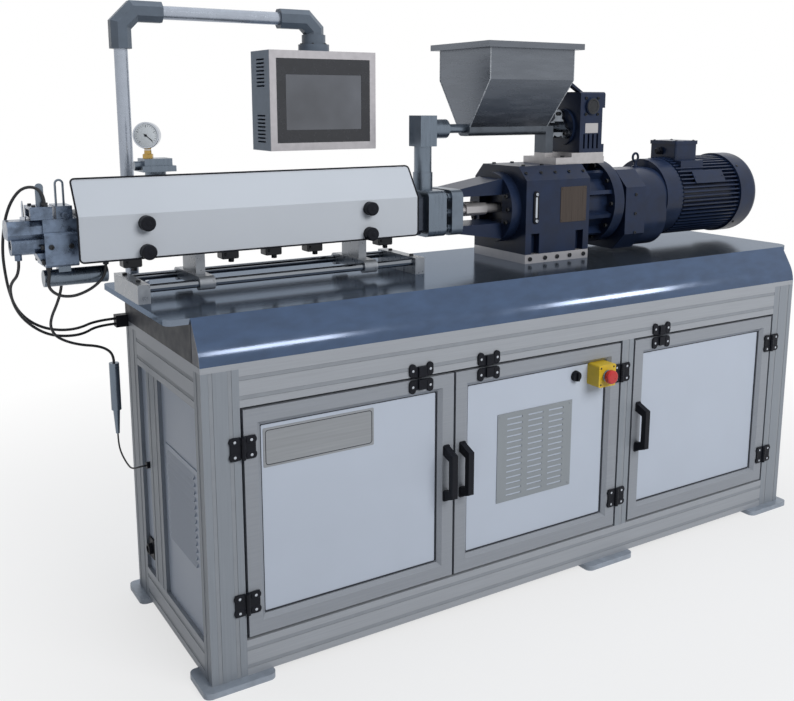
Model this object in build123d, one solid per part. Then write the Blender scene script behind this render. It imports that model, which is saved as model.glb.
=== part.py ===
from build123d import *
import math
import os

# Laboratory plastic extruder on a slotted-profile cabinet.
# Millimetres, +X along the machine from the die to the motor, -Y the front with the doors, +Z up.
# The origin is the cabinet's front left corner, on the floor.

# Cabinet frame
LENGTH = 2030.0
DEPTH = 570.0
MODULE = 45.0
POST = 2 * MODULE
RAIL_HEIGHT = 90.0
FRAME_HEIGHT = 753.0
SLOT_MOUTH = 10.0
SLOT_LIP = 4.5
SLOT_CHAMBER = 17.0
SLOT_CHAMBER_DEPTH = 8.0
MIDDLE_POST_FROM_LEFT = 1270.0
END_MULLION_FROM_FRONT = 318.0
FOOT_THICK = 15.0
FOOT_LENGTH = 180.0
FOOT_DEPTH = 120.0
FOOT_OVERHANG = 25.0
FOOT_CORNER = 18.0
MIDDLE_FOOT_FROM_LEFT = 1240.0
PANEL_THICK = 4.0
PANEL_RECESS = 10.0
FLOOR_SHEET_DROP = 6.0
VENT_WIDTH = 232.0
VENT_HEIGHT = 256.0
VENT_PLATE = 2.0
LOUVRE_COUNT = 13
LOUVRE_DEPTH = 5.0

# Deck, skirt and table
DECK_THICK = 14.0
SKIRT_HEIGHT = 90.0
SHEET = 3.0
TABLE_THICK = 14.0
TABLE_OVERHANG = 56.0
TABLE_CORNER = 20.0
TABLE_OVERHANG_RIGHT = 52.0
TABLE_CORNER_RIGHT = 60.0
COVER_LIP = 30.0
COVER_SETBACK = 50.0
COVER_LIP_LEAN = 4.0
COVER_END_ROUND = 24.0

# Doors
DOOR_GAP = 7.0
DOOR_DEPTH = 30.0
DOOR_STILE = 44.0
DOOR_BEVEL = 10.0
DOOR_PANEL_SETBACK = 15.0
DOOR_PANEL_THICK = 5.0
HINGE_AXIS_FORWARD = 6.0
HINGE_KNUCKLE_RADIUS = 5.5
HINGE_PIN_RADIUS = 2.5
HINGE_LEAF_WIDTH = 31.0
HINGE_HEIGHT = 54.0
HINGE_LEAF_THICK = 4.5
HINGE_CLEARANCE = 0.4
HINGE_PIN_CLEARANCE = 0.05
HINGE_FROM_END = 88.0
LATCH_WIDTH = 50.0
LATCH_HEIGHT = 26.0
LATCH_THICK = 9.0
LATCH_FROM_EDGE = 102.0
HANDLE_LENGTH = 150.0
HANDLE_GRIP = 17.0
HANDLE_STANDOFF = 42.0
HANDLE_FOOT = 26.0
HANDLE_ABOVE_MIDDLE = 12.5
DOOR_VENT_WIDTH = 264.0
DOOR_VENT_HEIGHT = 254.0
DOOR_VENT_FROM_LEFT = 148.0
DOOR_VENT_ABOVE_MIDDLE = 7.5
DOOR_VENT_SLOTS = 14
DOOR_VENT_COLUMNS = 3
DOOR_VENT_SLOT = 5.0
STOP_BOX = 64.0
STOP_BOX_DEPTH = 48.0
STOP_BOX_ROUND = 6.0
STOP_FROM_HINGE = 84.0
STOP_BELOW_STILE = 1.0
STOP_HEAD_RADIUS = 20.0
STOP_HEAD_DEPTH = 14.0
STOP_STEM_RADIUS = 11.0
STOP_STEM_CLEARANCE = 0.4
STOP_TRAVEL = 6.0
STOP_COLLAR = 5.0
STOP_STEM_INSIDE = 10.0
LOCK_RADIUS = 14.0
LOCK_DEPTH = 12.0
LOCK_FROM_HINGE = 162.0

# Machine axis and drive
AXIS_FROM_FRONT = 348.0
AXIS_HEIGHT = 159.0
GEARBOX_FROM_LEFT = 1082.0
GEARBOX_LENGTH = 246.0
GEARBOX_DEPTH = 252.0
GEARBOX_HEIGHT = 257.0
GEARBOX_CHAMFER = 40.0
GEARBOX_BASE = 27.0
POCKET_WIDTH = 30.0
POCKET_HEIGHT = 61.0
POCKET_DEPTH = 24.0
POCKET_INSET = 22.0
BELL_LENGTH = 102.0
BELL_RADIUS = 96.0
BELL_RIBS = 10
BELL_RIB_THICK = 12.0
BELL_RIB_INSET = 10.0
BELL_RIB_ROOT = 20.0
BELL_DISC_RADIUS = 131.0
BELL_DISC_THICK = 40.0
GEAR_NECK = 15.0
GEAR_NECK_RADIUS = 100.0
GEAR_CASE_LENGTH = 85.0
GEAR_COVER_LENGTH = 98.0
GEAR_WIDTH = 244.0
GEAR_HEIGHT = 252.0
GEAR_DROP = 26.0
GEAR_CHAMFER = 52.0
GEAR_COVER_ROUND = 96.0
MOTOR_SHIELD_LENGTH = 72.0
MOTOR_SHIELD_RADIUS = 126.0
MOTOR_BODY_LENGTH = 272.0
MOTOR_CORE_RADIUS = 112.0
MOTOR_FIN_RADIUS = 130.0
MOTOR_FINS = 56
MOTOR_FIN_THICK = 4.5
COWL_LENGTH = 90.0
COWL_RADIUS = 136.0
COWL_ROUND = 26.0
COWL_SLOTS = 18
COWL_SLOT_WIDTH = 7.0
COWL_SLOT_LENGTH = 60.0
COWL_SLOT_DEPTH = 4.0
COWL_SLOT_FROM_AXIS = 36.0
TERMINAL_LENGTH = 106.0
TERMINAL_DEPTH = 118.0
TERMINAL_TOP_RISE = 184.0
TERMINAL_LID = 12.0
TERMINAL_LID_STEP = 2.5
SADDLE_PAD_FRONT = 84.0
SADDLE_PAD_BACK = 70.0
SADDLE_PAD_BOTTOM = 86.0
SADDLE_PAD_TOP = 120.0
TERMINAL_FROM_SHIELD = 26.0
TERMINAL_ROUND = 6.0

# Lantern, feed block, barrel and die
LANTERN_LENGTH = 225.0
LANTERN_FLANGE = 38.0
FLANGE_ROUND = 20.0
LANTERN_WIDTH = 146.0
LANTERN_HEIGHT = 130.0
LANTERN_ARM_DEPTH = 112.0
LANTERN_WINDOW = 84.0
LANTERN_BOSS_RADIUS = 105.0
LANTERN_BOSS_THICK = 35.0
FLANGE_GAP = 19.0
STUD_RADIUS = 7.0
SHAFT_RADIUS = 13.0
SHAFT_SPACING = 40.0
SHAFT_CLEARANCE = 0.4
COUPLING_RADIUS = 18.5
COUPLING_LENGTH = 74.0
COUPLING_FLAT = 16.5
FEED_BLOCK_LENGTH = 60.0
BARREL_LENGTH = 950.0
BARREL_SIZE = 96.0
JACKET_SIZE = 116.0
JACKET_COUNT = 5
JACKET_GAP = 22.0
JACKET_CHAMFER = 14.0
COVER_FROM_AXIS = 108.0
COVER_LENGTH = 903.0
COVER_LEFT_OF_BARREL = 12.0
COVER_BOTTOM_DROP = 48.0
COVER_FOLD_RISE = 56.0
COVER_TOP_RISE = 138.0
COVER_TOP_SETBACK = 54.0
COVER_SHEET = 3.0
COVER_CORNER = 10.0
REAR_COVER_INSET = 30.0
REAR_COVER_RISE = 52.0
KNOB_RADIUS = 18.0
KNOB_DEPTH = 24.0
KNOB_ROUND = 5.0
KNOB_SPACING_X = 596.0
KNOB_HIGH = 34.0
KNOB_LOW = -33.0
STANDOFF_RADIUS = 7.0
DIE_BLOCK_LENGTH = 74.0
DIE_BLOCK_WIDTH = 100.0
DIE_BLOCK_RISE = 17.0
DIE_BLOCK_DROP = 62.0
DIE_LEDGE_WIDTH = 80.0
DIE_LEDGE_RISE = 47.0
DIE_EDGE = 5.0
DIE_SKIRT_LENGTH = 16.0
DIE_SKIRT_WIDTH = 60.0
DIE_SKIRT_DROP = 30.0
NOZZLE_BLOCK_LENGTH = 74.0
NOZZLE_BLOCK_WIDTH = 68.0
NOZZLE_BLOCK_HEIGHT = 42.0
NOZZLE_BLOCK_RISE = 45.0
NOZZLE_BLOCK_CHAMFER = 12.0
DIE_NOZZLE_LENGTH = 66.0
DIE_NOZZLE_RADIUS = 24.0
DIE_NOZZLE_DROP = 11.0
DIE_BORE_RADIUS = 11.0
DIE_BORE_DEPTH = 16.0
CLAMP_HEIGHT = 29.0
CLAMP_WIDTH = 72.0
CLAMP_LEFT_LENGTH = 48.0
CLAMP_OVERHANG = 24.0
CLAMP_SLOT_LENGTH = 36.0
CLAMP_SLOT_WIDTH = 44.0
CLAMP_SLOT_HEIGHT = 17.0
CLAMP_SLOT_RISE = 6.0
CLAMP_RIGHT_LENGTH = 36.0
CLAMP_RIGHT_INSET = 6.0
CLAMP_BOLT_RADIUS = 8.0
CLAMP_BOLT_LENGTH = 9.0
DIE_HEATER_RADIUS = 20.0
DIE_HEATER_LENGTH = 146.0
DIE_HEATER_DROP = 94.0
HEATER_BRACKET_LENGTH = 28.0
HEATER_BRACKET_WIDTH = 28.0
HEATER_BRACKET_INSET = 12.0
PORT_FROM_DIE = 162.0
PORT_LENGTH = 82.0
PORT_WIDTH = 70.0
PORT_TOP_RISE = 176.0
PORT_NECK = 50.0
PORT_CAP_HEIGHT = 17.0
PORT_CAP_INSET = 7.0
PORT_PLATE = 14.0
PORT_NIPPLE_RADIUS = 11.0
PORT_NIPPLE_LENGTH = 11.0
GAUGE_RADIUS = 31.0
GAUGE_DEPTH = 24.0
GAUGE_RISE = 55.0
GAUGE_STEM_RADIUS = 8.0
GAUGE_FROM_PORT = 24.5
GAUGE_TURN = 30.0

# Guide rods and saddles
ROD_RADIUS = 10.0
ROD_SPACING = 164.0
ROD_HEIGHT = 33.0
ROD_BLOCK_LENGTH = 30.0
ROD_BLOCK_WIDTH = 204.0
ROD_BLOCK_HEIGHT = 46.0
ROD_SPAN = 741.0
SADDLE_FIRST = 144.0
SADDLE_PITCH = 460.0
SADDLE_LENGTH = 40.0
SADDLE_PLATE_DROP = 8.0
BUSH_RADIUS = 17.0
BUSH_CLEARANCE = 0.2
SADDLE_WEB = 24.0

# Feeder
FEED_X_IN_BLOCK = 26.0
SLEEVE_RADIUS = 28.0
SLEEVE_TOP_RISE = 114.0
DROP_RADIUS = 25.0
TEE_LENGTH = 54.0
TEE_WIDTH = 62.0
TEE_BOTTOM_RISE = 187.0
TEE_HEIGHT = 86.0
FEED_AXIS_RISE = 235.0
NOZZLE_RADIUS = 27.0
NOZZLE_LENGTH = 49.0
FEED_TUBE_RADIUS = 13.0
FEED_TUBE_LENGTH = 65.0
TROUGH_LENGTH = 288.0
TROUGH_WIDTH = 60.0
TROUGH_DROP = 22.0
TROUGH_RISE = 4.0
TROUGH_ROUND = 18.0
TROUGH_WALL = 4.0
HOPPER_LENGTH = 304.0
HOPPER_WIDTH = 248.0
HOPPER_BOX_HEIGHT = 103.0
HOPPER_TAPER_HEIGHT = 134.0
HOPPER_WALL = 3.0
HOPPER_RIM = 21.0
HOPPER_RIM_HEIGHT = 17.0
PLATE_LENGTH = 195.0
PLATE_WIDTH = 154.0
LOWER_PLATE = 20.0
UPPER_PLATE = 13.0
UPPER_PLATE_STEP = 30.0
PLATE_FROM_GEARBOX = 150.0
WORM_FROM_GEARBOX = 242.0
WORM_LENGTH = 100.0
WORM_WIDTH = 160.0
WORM_WAIST = 10.0
WORM_WAIST_DEPTH = 30.0
WORM_WAIST_BOTTOM = 25.0
WORM_WAIST_TOP = 135.0
WORM_GROOVES = 4
WORM_GROOVE_WIDTH = 7.0
WORM_GROOVE_DEPTH = 10.0
WORM_GROOVE_BOTTOM = 12.0
WORM_GROOVE_TOP = 56.0
WORM_BOSS_RADIUS = 56.0
WORM_BOSS_DEPTH = 8.0
WORM_HEIGHT = 183.0
WORM_ROUND = 8.0
WORM_INPUT_RISE = 63.0
WORM_COVER_RADIUS = 26.0
WORM_COVER_DEPTH = 6.0
PEDESTAL_LENGTH = 29.0
PEDESTAL_WIDTH = 52.0
COUPLING_DISC_RADIUS = 30.0
COUPLING_DISC_THICK = 12.0
COUPLING_LOBE_RADIUS = 17.0
COUPLING_LOBE_FROM_AXIS = 36.0
COUPLING_HUB_RADIUS = 17.0
COUPLING_HUB_LENGTH = 22.0
FEEDER_MOTOR_RADIUS = 62.0
FEEDER_MOTOR_LENGTH = 176.0
FEEDER_MOTOR_FLANGE = 14.0
FEEDER_MOTOR_STEP = 6.0
STRUT_WIDTH = 20.0
STRUT_THICK = 14.0
STRUT_BELOW_RIM = 30.0
STRUT_ON_WORM = 70.0

# Operator panel on its arm
ARM_X_FROM_LEFT = 8.0
ARM_FROM_FRONT = 512.0
TUBE_RADIUS = 17.0
ARM_FOOT_RADIUS = 42.0
ARM_FOOT_THICK = 10.0
PANEL_ABOVE_COVER = 41.0
ARM_REACH = 538.0
ELBOW_LEG = 106.0
ELBOW_DROP = 92.0
ELBOW_HALF = 25.5
ELBOW_CHAMFER = 14.0
ELBOW_BEND = 34.0
SWIVEL_BEND = 28.0
ELBOW_STUB = 14.0
SWIVEL_CLEARANCE = 0.3
SWIVEL_RADIUS = 43.0
SWIVEL_HEIGHT = 46.0
SWIVEL_FLANGE = 20.0
SWIVEL_NECK_RADIUS = 33.0
PANEL_LENGTH = 326.0
PANEL_DEPTH = 124.0
PANEL_HEIGHT = 268.0
BEZEL_LENGTH = 288.0
BEZEL_HEIGHT = 226.0
BEZEL_DEPTH = 5.0
SCREEN_LENGTH = 234.0
SCREEN_HEIGHT = 150.0
SCREEN_RECESS = 1.5
SCREEN_DROP = 4.0
PANEL_SLOTS = 8
PANEL_SLOT_DEPTH = 24.0

# Cables on the die end
LEAD_RADIUS = 3.5
THIN_LEAD_RADIUS = 2.25
RELIEF_LENGTH = 32.0
RELIEF_DEPTH = 26.0
RELIEF_BELOW_DECK = 14.0
RELIEF_ABOVE_DECK = 18.0
GLAND_RADIUS = 9.0
GLAND_LENGTH = 14.0
CONNECTOR_RADIUS = 13.0
BOOT_LENGTH = 66.0
BOOT_TOP_RADIUS = 9.0
BOOT_END_RADIUS = 5.0
SENSOR_BOSS_RADIUS = 8.0
SENSOR_BOSS_LENGTH = 12.0
SENSOR_BOSS_INSET = 16.0

# Derived levels and places
LEFT = 0.0
RIGHT = LEFT + LENGTH
FRONT = 0.0
BACK = FRONT + DEPTH
AXIS_Y = FRONT + AXIS_FROM_FRONT
ARM_Y = FRONT + ARM_FROM_FRONT
FRAME_TOP = FOOT_THICK + FRAME_HEIGHT
BAY_BOTTOM = FOOT_THICK + RAIL_HEIGHT
BAY_TOP = FRAME_TOP - RAIL_HEIGHT
DECK_TOP = FRAME_TOP + DECK_THICK
TABLE_TOP = DECK_TOP + SKIRT_HEIGHT + TABLE_THICK
AXIS_Z = TABLE_TOP + AXIS_HEIGHT
FEED_Z = AXIS_Z + FEED_AXIS_RISE
GEARBOX_LEFT = LEFT + GEARBOX_FROM_LEFT
GEARBOX_RIGHT = GEARBOX_LEFT + GEARBOX_LENGTH
GEARBOX_BOTTOM = TABLE_TOP + GEARBOX_BASE
GEARBOX_TOP = GEARBOX_BOTTOM + GEARBOX_HEIGHT
LANTERN_LEFT = GEARBOX_LEFT - LANTERN_LENGTH
FEED_BLOCK_RIGHT = LANTERN_LEFT - FLANGE_GAP
FEED_BLOCK_LEFT = FEED_BLOCK_RIGHT - FEED_BLOCK_LENGTH
BARREL_LEFT = FEED_BLOCK_LEFT - BARREL_LENGTH
COVER_LEFT = BARREL_LEFT - COVER_LEFT_OF_BARREL
MIDDLE_POST_LEFT = LEFT + MIDDLE_POST_FROM_LEFT
MIDDLE_POST_RIGHT = MIDDLE_POST_LEFT + MODULE
MULLION_FRONT = FRONT + END_MULLION_FROM_FRONT
MULLION_BACK = MULLION_FRONT + POST
BAY_LEFT = LEFT + POST
BAY_RIGHT = RIGHT - POST
DOOR_SPLIT = (BAY_LEFT + MIDDLE_POST_LEFT) / 2
DOOR_BOTTOM = BAY_BOTTOM + DOOR_GAP
DOOR_TOP = BAY_TOP - DOOR_GAP
DOOR_MIDDLE = (DOOR_BOTTOM + DOOR_TOP) / 2
HANDLE_MIDDLE = DOOR_MIDDLE + HANDLE_ABOVE_MIDDLE
STOP_HEIGHT = DOOR_TOP - DOOR_STILE - STOP_BELOW_STILE - STOP_BOX / 2
VENT_BOTTOM = (BAY_BOTTOM + BAY_TOP - VENT_HEIGHT) / 2
DOOR_VENT_BOTTOM = DOOR_MIDDLE + DOOR_VENT_ABOVE_MIDDLE - DOOR_VENT_HEIGHT / 2
PANEL_BOTTOM = AXIS_Z + COVER_TOP_RISE + PANEL_ABOVE_COVER
PANEL_TOP = PANEL_BOTTOM + PANEL_HEIGHT
SWIVEL_TOP = PANEL_TOP + SWIVEL_HEIGHT + SWIVEL_CLEARANCE
ARM_AXIS_HEIGHT = SWIVEL_TOP + ELBOW_STUB + ELBOW_HALF


def block(x0, x1, y0, y1, z0, z1):
    """A box between two corners."""
    middle = Pos((x0 + x1) / 2, (y0 + y1) / 2, (z0 + z1) / 2)
    return middle * Box(x1 - x0, y1 - y0, z1 - z0)


def rod_x(x0, x1, y, z, radius):
    return Pos((x0 + x1) / 2, y, z) * Rot(0, 90, 0) * Cylinder(radius, x1 - x0)


def rod_y(x, y0, y1, z, radius):
    return Pos(x, (y0 + y1) / 2, z) * Rot(90, 0, 0) * Cylinder(radius, y1 - y0)


def rod_z(x, y, z0, z1, radius):
    return Pos(x, y, (z0 + z1) / 2) * Cylinder(radius, z1 - z0)


def prism_y(points, y0, y1):
    """A closed outline of (x, z) points, drawn from y0 to y1."""
    face = make_face(Polyline(*[(x, y0, z) for x, z in points], close=True))
    return extrude(face, y1 - y0, dir=(0, 1, 0))


def prism_x(points, x0, x1):
    """A closed outline of (y, z) points, drawn from x0 to x1."""
    face = make_face(Polyline(*[(x0, y, z) for y, z in points], close=True))
    return extrude(face, x1 - x0, dir=(1, 0, 0))


def save(name, *shapes):
    solids = [solid for shape in shapes for solid in shape.solids()]
    export_step(Compound(solids), f"parts/{name}.step")


def slotted_section(wide, deep):
    """Extruded-profile section with one T-slot for each module of each side."""
    section = Rectangle(wide, deep)
    for side_length, reach, turn in ((wide, deep, 0), (deep, wide, 90)):
        count = round(side_length / MODULE)
        for index in range(count):
            along = (index - (count - 1) / 2) * MODULE
            for half in (0, 180):
                mouth = Pos(along, reach / 2) * Rectangle(SLOT_MOUTH, 2 * SLOT_LIP)
                chamber_middle = reach / 2 - SLOT_LIP - SLOT_CHAMBER_DEPTH / 2
                chamber = Pos(along, chamber_middle) * Rectangle(SLOT_CHAMBER, SLOT_CHAMBER_DEPTH)
                section -= Rot(0, 0, turn + half) * (mouth + chamber)
    return section


def bar_x(x0, x1, y, z, deep, tall):
    plane = Plane(origin=(x0, y, z), x_dir=(0, 1, 0), z_dir=(1, 0, 0))
    return extrude(plane * slotted_section(deep, tall), x1 - x0)


def bar_y(y0, y1, x, z, wide, tall):
    plane = Plane(origin=(x, y0, z), x_dir=(1, 0, 0), z_dir=(0, 1, 0))
    return extrude(plane * slotted_section(wide, tall), y1 - y0)


def bar_z(z0, z1, x, y, wide, deep):
    plane = Plane(origin=(x, y, z0))
    return extrude(plane * slotted_section(wide, deep), z1 - z0)


def make_frame():
    front_y = FRONT + MODULE / 2
    back_post_y = BACK - POST / 2
    posts = []
    for x in (LEFT + POST / 2, RIGHT - POST / 2):
        posts.append(bar_z(FOOT_THICK, FRAME_TOP, x, front_y, POST, MODULE))
        posts.append(bar_z(FOOT_THICK, FRAME_TOP, x, back_post_y, POST, POST))
    middle_x = (MIDDLE_POST_LEFT + MIDDLE_POST_RIGHT) / 2
    for y in (front_y, BACK - MODULE / 2):
        posts.append(bar_z(BAY_BOTTOM, BAY_TOP, middle_x, y, MODULE, MODULE))
    mullion_y = (MULLION_FRONT + MULLION_BACK) / 2
    for x in (LEFT + MODULE / 2, RIGHT - MODULE / 2):
        posts.append(bar_z(BAY_BOTTOM, BAY_TOP, x, mullion_y, MODULE, POST))
    save("frame_posts", *posts)

    rails = []
    for z in (FOOT_THICK + RAIL_HEIGHT / 2, FRAME_TOP - RAIL_HEIGHT / 2):
        for y in (front_y, BACK - MODULE / 2):
            rails.append(bar_x(BAY_LEFT, BAY_RIGHT, y, z, MODULE, RAIL_HEIGHT))
        for x in (LEFT + MODULE / 2, RIGHT - MODULE / 2):
            rails.append(bar_y(FRONT + MODULE, BACK - POST, x, z, MODULE, RAIL_HEIGHT))
    save("frame_rails", *rails)

    feet = []
    inset = FOOT_LENGTH / 2 - FOOT_OVERHANG
    for x in (LEFT + inset, RIGHT - inset, LEFT + MIDDLE_FOOT_FROM_LEFT):
        for y in (FRONT - FOOT_OVERHANG + FOOT_DEPTH / 2, BACK + FOOT_OVERHANG - FOOT_DEPTH / 2):
            plate = extrude(RectangleRounded(FOOT_LENGTH, FOOT_DEPTH, FOOT_CORNER), FOOT_THICK)
            feet.append(Pos(x, y, 0) * plate)
    save("foot_plates", *feet)
    save("deck_plate", block(LEFT, RIGHT, FRONT, BACK, FRAME_TOP, DECK_TOP))


def make_panels():
    panels = []
    for x in (LEFT + PANEL_RECESS, RIGHT - PANEL_RECESS - PANEL_THICK):
        for y0, y1 in ((FRONT + MODULE, MULLION_FRONT), (MULLION_BACK, BACK - POST)):
            panels.append(block(x, x + PANEL_THICK, y0, y1, BAY_BOTTOM, BAY_TOP))
    panel_y = BACK - PANEL_RECESS
    for x0, x1 in ((BAY_LEFT, MIDDLE_POST_LEFT), (MIDDLE_POST_RIGHT, BAY_RIGHT)):
        panels.append(block(x0, x1, panel_y - PANEL_THICK, panel_y, BAY_BOTTOM, BAY_TOP))
    floor_z = BAY_BOTTOM - FLOOR_SHEET_DROP
    floor_x0 = LEFT + MODULE
    floor_x1 = RIGHT - MODULE
    floor = block(floor_x0, floor_x1, FRONT + MODULE, BACK - MODULE, floor_z - SHEET, floor_z)
    for x0, x1 in ((floor_x0, BAY_LEFT), (BAY_RIGHT, floor_x1)):
        floor -= block(x0, x1, BACK - POST, BACK - MODULE, floor_z - SHEET, floor_z)
    panels.append(floor)

    # Pressed louvre plate on the left end panel.
    face_x = LEFT + PANEL_RECESS
    middle_y = (FRONT + MODULE + MULLION_FRONT) / 2
    y0 = middle_y - VENT_WIDTH / 2
    y1 = middle_y + VENT_WIDTH / 2
    vent = block(face_x - VENT_PLATE, face_x, y0, y1, VENT_BOTTOM, VENT_BOTTOM + VENT_HEIGHT)
    pitch = VENT_HEIGHT / (LOUVRE_COUNT + 1)
    margin = VENT_WIDTH / 12
    for index in range(LOUVRE_COUNT):
        z = VENT_BOTTOM + (index + 1) * pitch
        x = face_x - VENT_PLATE
        outline = [(x, z + pitch * 0.3), (x - LOUVRE_DEPTH, z - pitch * 0.3), (x, z - pitch * 0.3)]
        vent += prism_y(outline, y0 + margin, y1 - margin)
    panels[0] += vent
    save("side_panels", *panels)


def make_table():
    table_bottom = TABLE_TOP - TABLE_THICK
    front_edge = FRONT + COVER_SETBACK
    table_left = LEFT - TABLE_OVERHANG
    table_right = RIGHT + TABLE_OVERHANG_RIGHT
    plate = block(table_left, table_right, front_edge, BACK, table_bottom, TABLE_TOP)
    front_right = (table_right, front_edge, TABLE_TOP)
    corners = plate.edges().filter_by(Axis.Z).sort_by_distance(front_right)
    plate = fillet(corners[1:], TABLE_CORNER)
    corner = plate.edges().filter_by(Axis.Z).sort_by_distance(front_right)[0]
    save("table_plate", fillet(corner, TABLE_CORNER_RIGHT))

    # Folded front sheet that turns round each end.
    fold = (front_edge, TABLE_TOP)
    lip_top = (FRONT + COVER_LIP_LEAN, DECK_TOP + COVER_LIP)
    foot = (FRONT, DECK_TOP)
    deep = front_edge + 3 * COVER_END_ROUND

    def front_form(points, x0, x1, radius):
        form = prism_x(points, x0, x1)
        turned = []
        for edge in form.edges():
            middle = edge.center()
            at_end = min(abs(middle.X - x0), abs(middle.X - x1)) < SHEET / 10
            if at_end and middle.Y < front_edge and middle.Z > DECK_TOP + SHEET:
                turned.append(edge)
        return fillet(turned, radius)

    outer_points = [foot, lip_top, fold, (deep, TABLE_TOP), (deep, DECK_TOP)]
    outer = front_form(outer_points, LEFT, RIGHT, COVER_END_ROUND)
    inner_points = [(FRONT + SHEET, DECK_TOP), (lip_top[0] + SHEET, lip_top[1]), (front_edge, table_bottom),
                    (deep, table_bottom), (deep, DECK_TOP)]
    inner = front_form(inner_points, LEFT + SHEET, RIGHT - SHEET, COVER_END_ROUND - SHEET)
    cover = (outer - inner) & block(LEFT, RIGHT, FRONT, front_edge, DECK_TOP, TABLE_TOP)
    save("front_cover", cover)

    side_front = front_edge
    sides = [block(LEFT, LEFT + SHEET, side_front, BACK - SHEET, DECK_TOP, table_bottom)]
    sides.append(block(RIGHT - SHEET, RIGHT, side_front, BACK - SHEET, DECK_TOP, table_bottom))
    sides.append(block(LEFT, RIGHT, BACK - SHEET, BACK, DECK_TOP, table_bottom))
    save("table_sides", *sides)


def hinge_leaf(axis_x, side, z, fixed):
    """Half of a butt hinge; side is +1 for a leaf to the right of the pin."""
    axis_y = FRONT - HINGE_AXIS_FORWARD
    half = HINGE_HEIGHT / 2
    inner = HINGE_KNUCKLE_RADIUS + HINGE_CLEARANCE
    third = HINGE_HEIGHT / 6
    outer_x = axis_x + side * HINGE_LEAF_WIDTH
    inner_x = axis_x + side * inner
    xs = sorted((inner_x, outer_x))
    leaf = block(xs[0], xs[1], FRONT - HINGE_LEAF_THICK, FRONT, z - half, z + half)
    if fixed:
        spans = [(z - third, z + third)]
    else:
        spans = [(z - half, z - third - HINGE_CLEARANCE), (z + third + HINGE_CLEARANCE, z + half)]
    neck_x = sorted((axis_x, inner_x))
    for z0, z1 in spans:
        leaf += block(neck_x[0], neck_x[1], FRONT - HINGE_LEAF_THICK, FRONT - HINGE_CLEARANCE, z0, z1)
        leaf += rod_z(axis_x, axis_y, z0, z1, HINGE_KNUCKLE_RADIUS)
    if fixed:
        leaf += rod_z(axis_x, axis_y, z - half, z + half, HINGE_PIN_RADIUS)
    else:
        bore = HINGE_PIN_RADIUS + HINGE_PIN_CLEARANCE
        leaf -= rod_z(axis_x, axis_y, z - half, z + half, bore)
    return leaf


def latch_half(x, edge_z, upward):
    """Half of a catch: a plate with a raised nose towards the gap."""
    z0, z1 = sorted((edge_z, edge_z + upward * LATCH_HEIGHT))
    plate = block(x - LATCH_WIDTH / 2, x + LATCH_WIDTH / 2, FRONT - LATCH_THICK / 2, FRONT, z0, z1)
    nose = LATCH_WIDTH / 5
    return plate + block(x - nose, x + nose, FRONT - LATCH_THICK, FRONT, z0, z1)


def bridge_handle(x, z):
    """Bow handle: two feet on the stile and a grip between them, with rounded corners."""
    half = HANDLE_LENGTH / 2
    inner_half = half - HANDLE_FOOT
    outer_y = FRONT - HANDLE_STANDOFF
    inner_y = outer_y + HANDLE_GRIP
    wide = HANDLE_GRIP / 2
    outline = [(FRONT, z - half), (outer_y, z - half + HANDLE_GRIP), (outer_y, z + half - HANDLE_GRIP),
               (FRONT, z + half), (FRONT, z + inner_half), (inner_y, z + inner_half - HANDLE_GRIP / 2),
               (inner_y, z - inner_half + HANDLE_GRIP / 2), (FRONT, z - inner_half)]
    return prism_x(outline, x - wide, x + wide)


# Cable runs from the die to the strain relief at the back left corner, to the hanging connector
# and from the connector into the end panel, each square to the face that it leaves or enters.
CABLE_A = [(-236, 322, 1121), (-236, 322, 1147), (-252, 334, 1166), (-277, 352, 1163), (-296, 372, 1137),
           (-308, 395, 1100), (-316, 405, 1055), (-319, 414, 1007), (-315, 426, 960), (-307, 441, 912),
           (-292, 459, 866), (-263, 478, 828), (-223, 497, 800), (-177, 514, 785), (-130, 533, 781),
           (-82, 558, 790), (-32, 558, 790)]
CABLE_B = [(-296, 348, 998), (-296, 348, 968), (-313, 381, 939), (-308, 412, 904), (-295, 441, 868),
           (-274, 466, 834), (-244, 486, 803), (-208, 504, 779), (-164, 519, 767), (-120, 536, 764),
           (-79, 558, 776), (-32, 558, 776)]
CABLE_C = [(-195, 382, 983), (-195, 382, 950), (-198, 394, 910), (-206, 412, 874), (-215, 437, 841),
           (-215, 463, 809), (-199, 486, 778), (-167, 502, 756), (-130, 512, 741), (-94, 517, 733),
           (-66, 521, 720), (-50, 522, 700), (-50, 522, 680)]
CABLE_TAIL = [(-50, 522, 486), (-50, 522, 462), (-47, 518, 436), (-41, 506, 416), (-37, 486, 405),
              (-35, 465, 403), (-31, 446, 408), (-21, 432, 415), (-4, 432, 415)]
CABLE_D = [(-236, 320, 983), (-236, 320, 960), (-242, 318, 936), (-222, 318, 914), (-190, 317, 908),
           (-159, 316, 916), (-130, 316, 932), (-108, 316, 957), (-108, 316, 987)]


def cable(name, points, radius):
    """Tube of straight runs joined by arcs that meet them smoothly."""
    runs = [(Vector(*b) - Vector(*a)) for a, b in zip(points, points[1:])]
    radii = []
    for before, after in zip(runs, runs[1:]):
        turn = math.radians(before.get_angle(after))
        radii.append(0.45 * min(before.length, after.length) / math.tan(turn / 2))
    path = FilletPolyline(*points, radius=radii)
    section = Plane(origin=path @ 0, z_dir=path % 0) * Circle(radius)
    tube = sweep(section, path=path)
    print(name, "length", round(path.length, 1), "least radius", round(min(radii), 1))
    save(name, tube)


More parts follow.
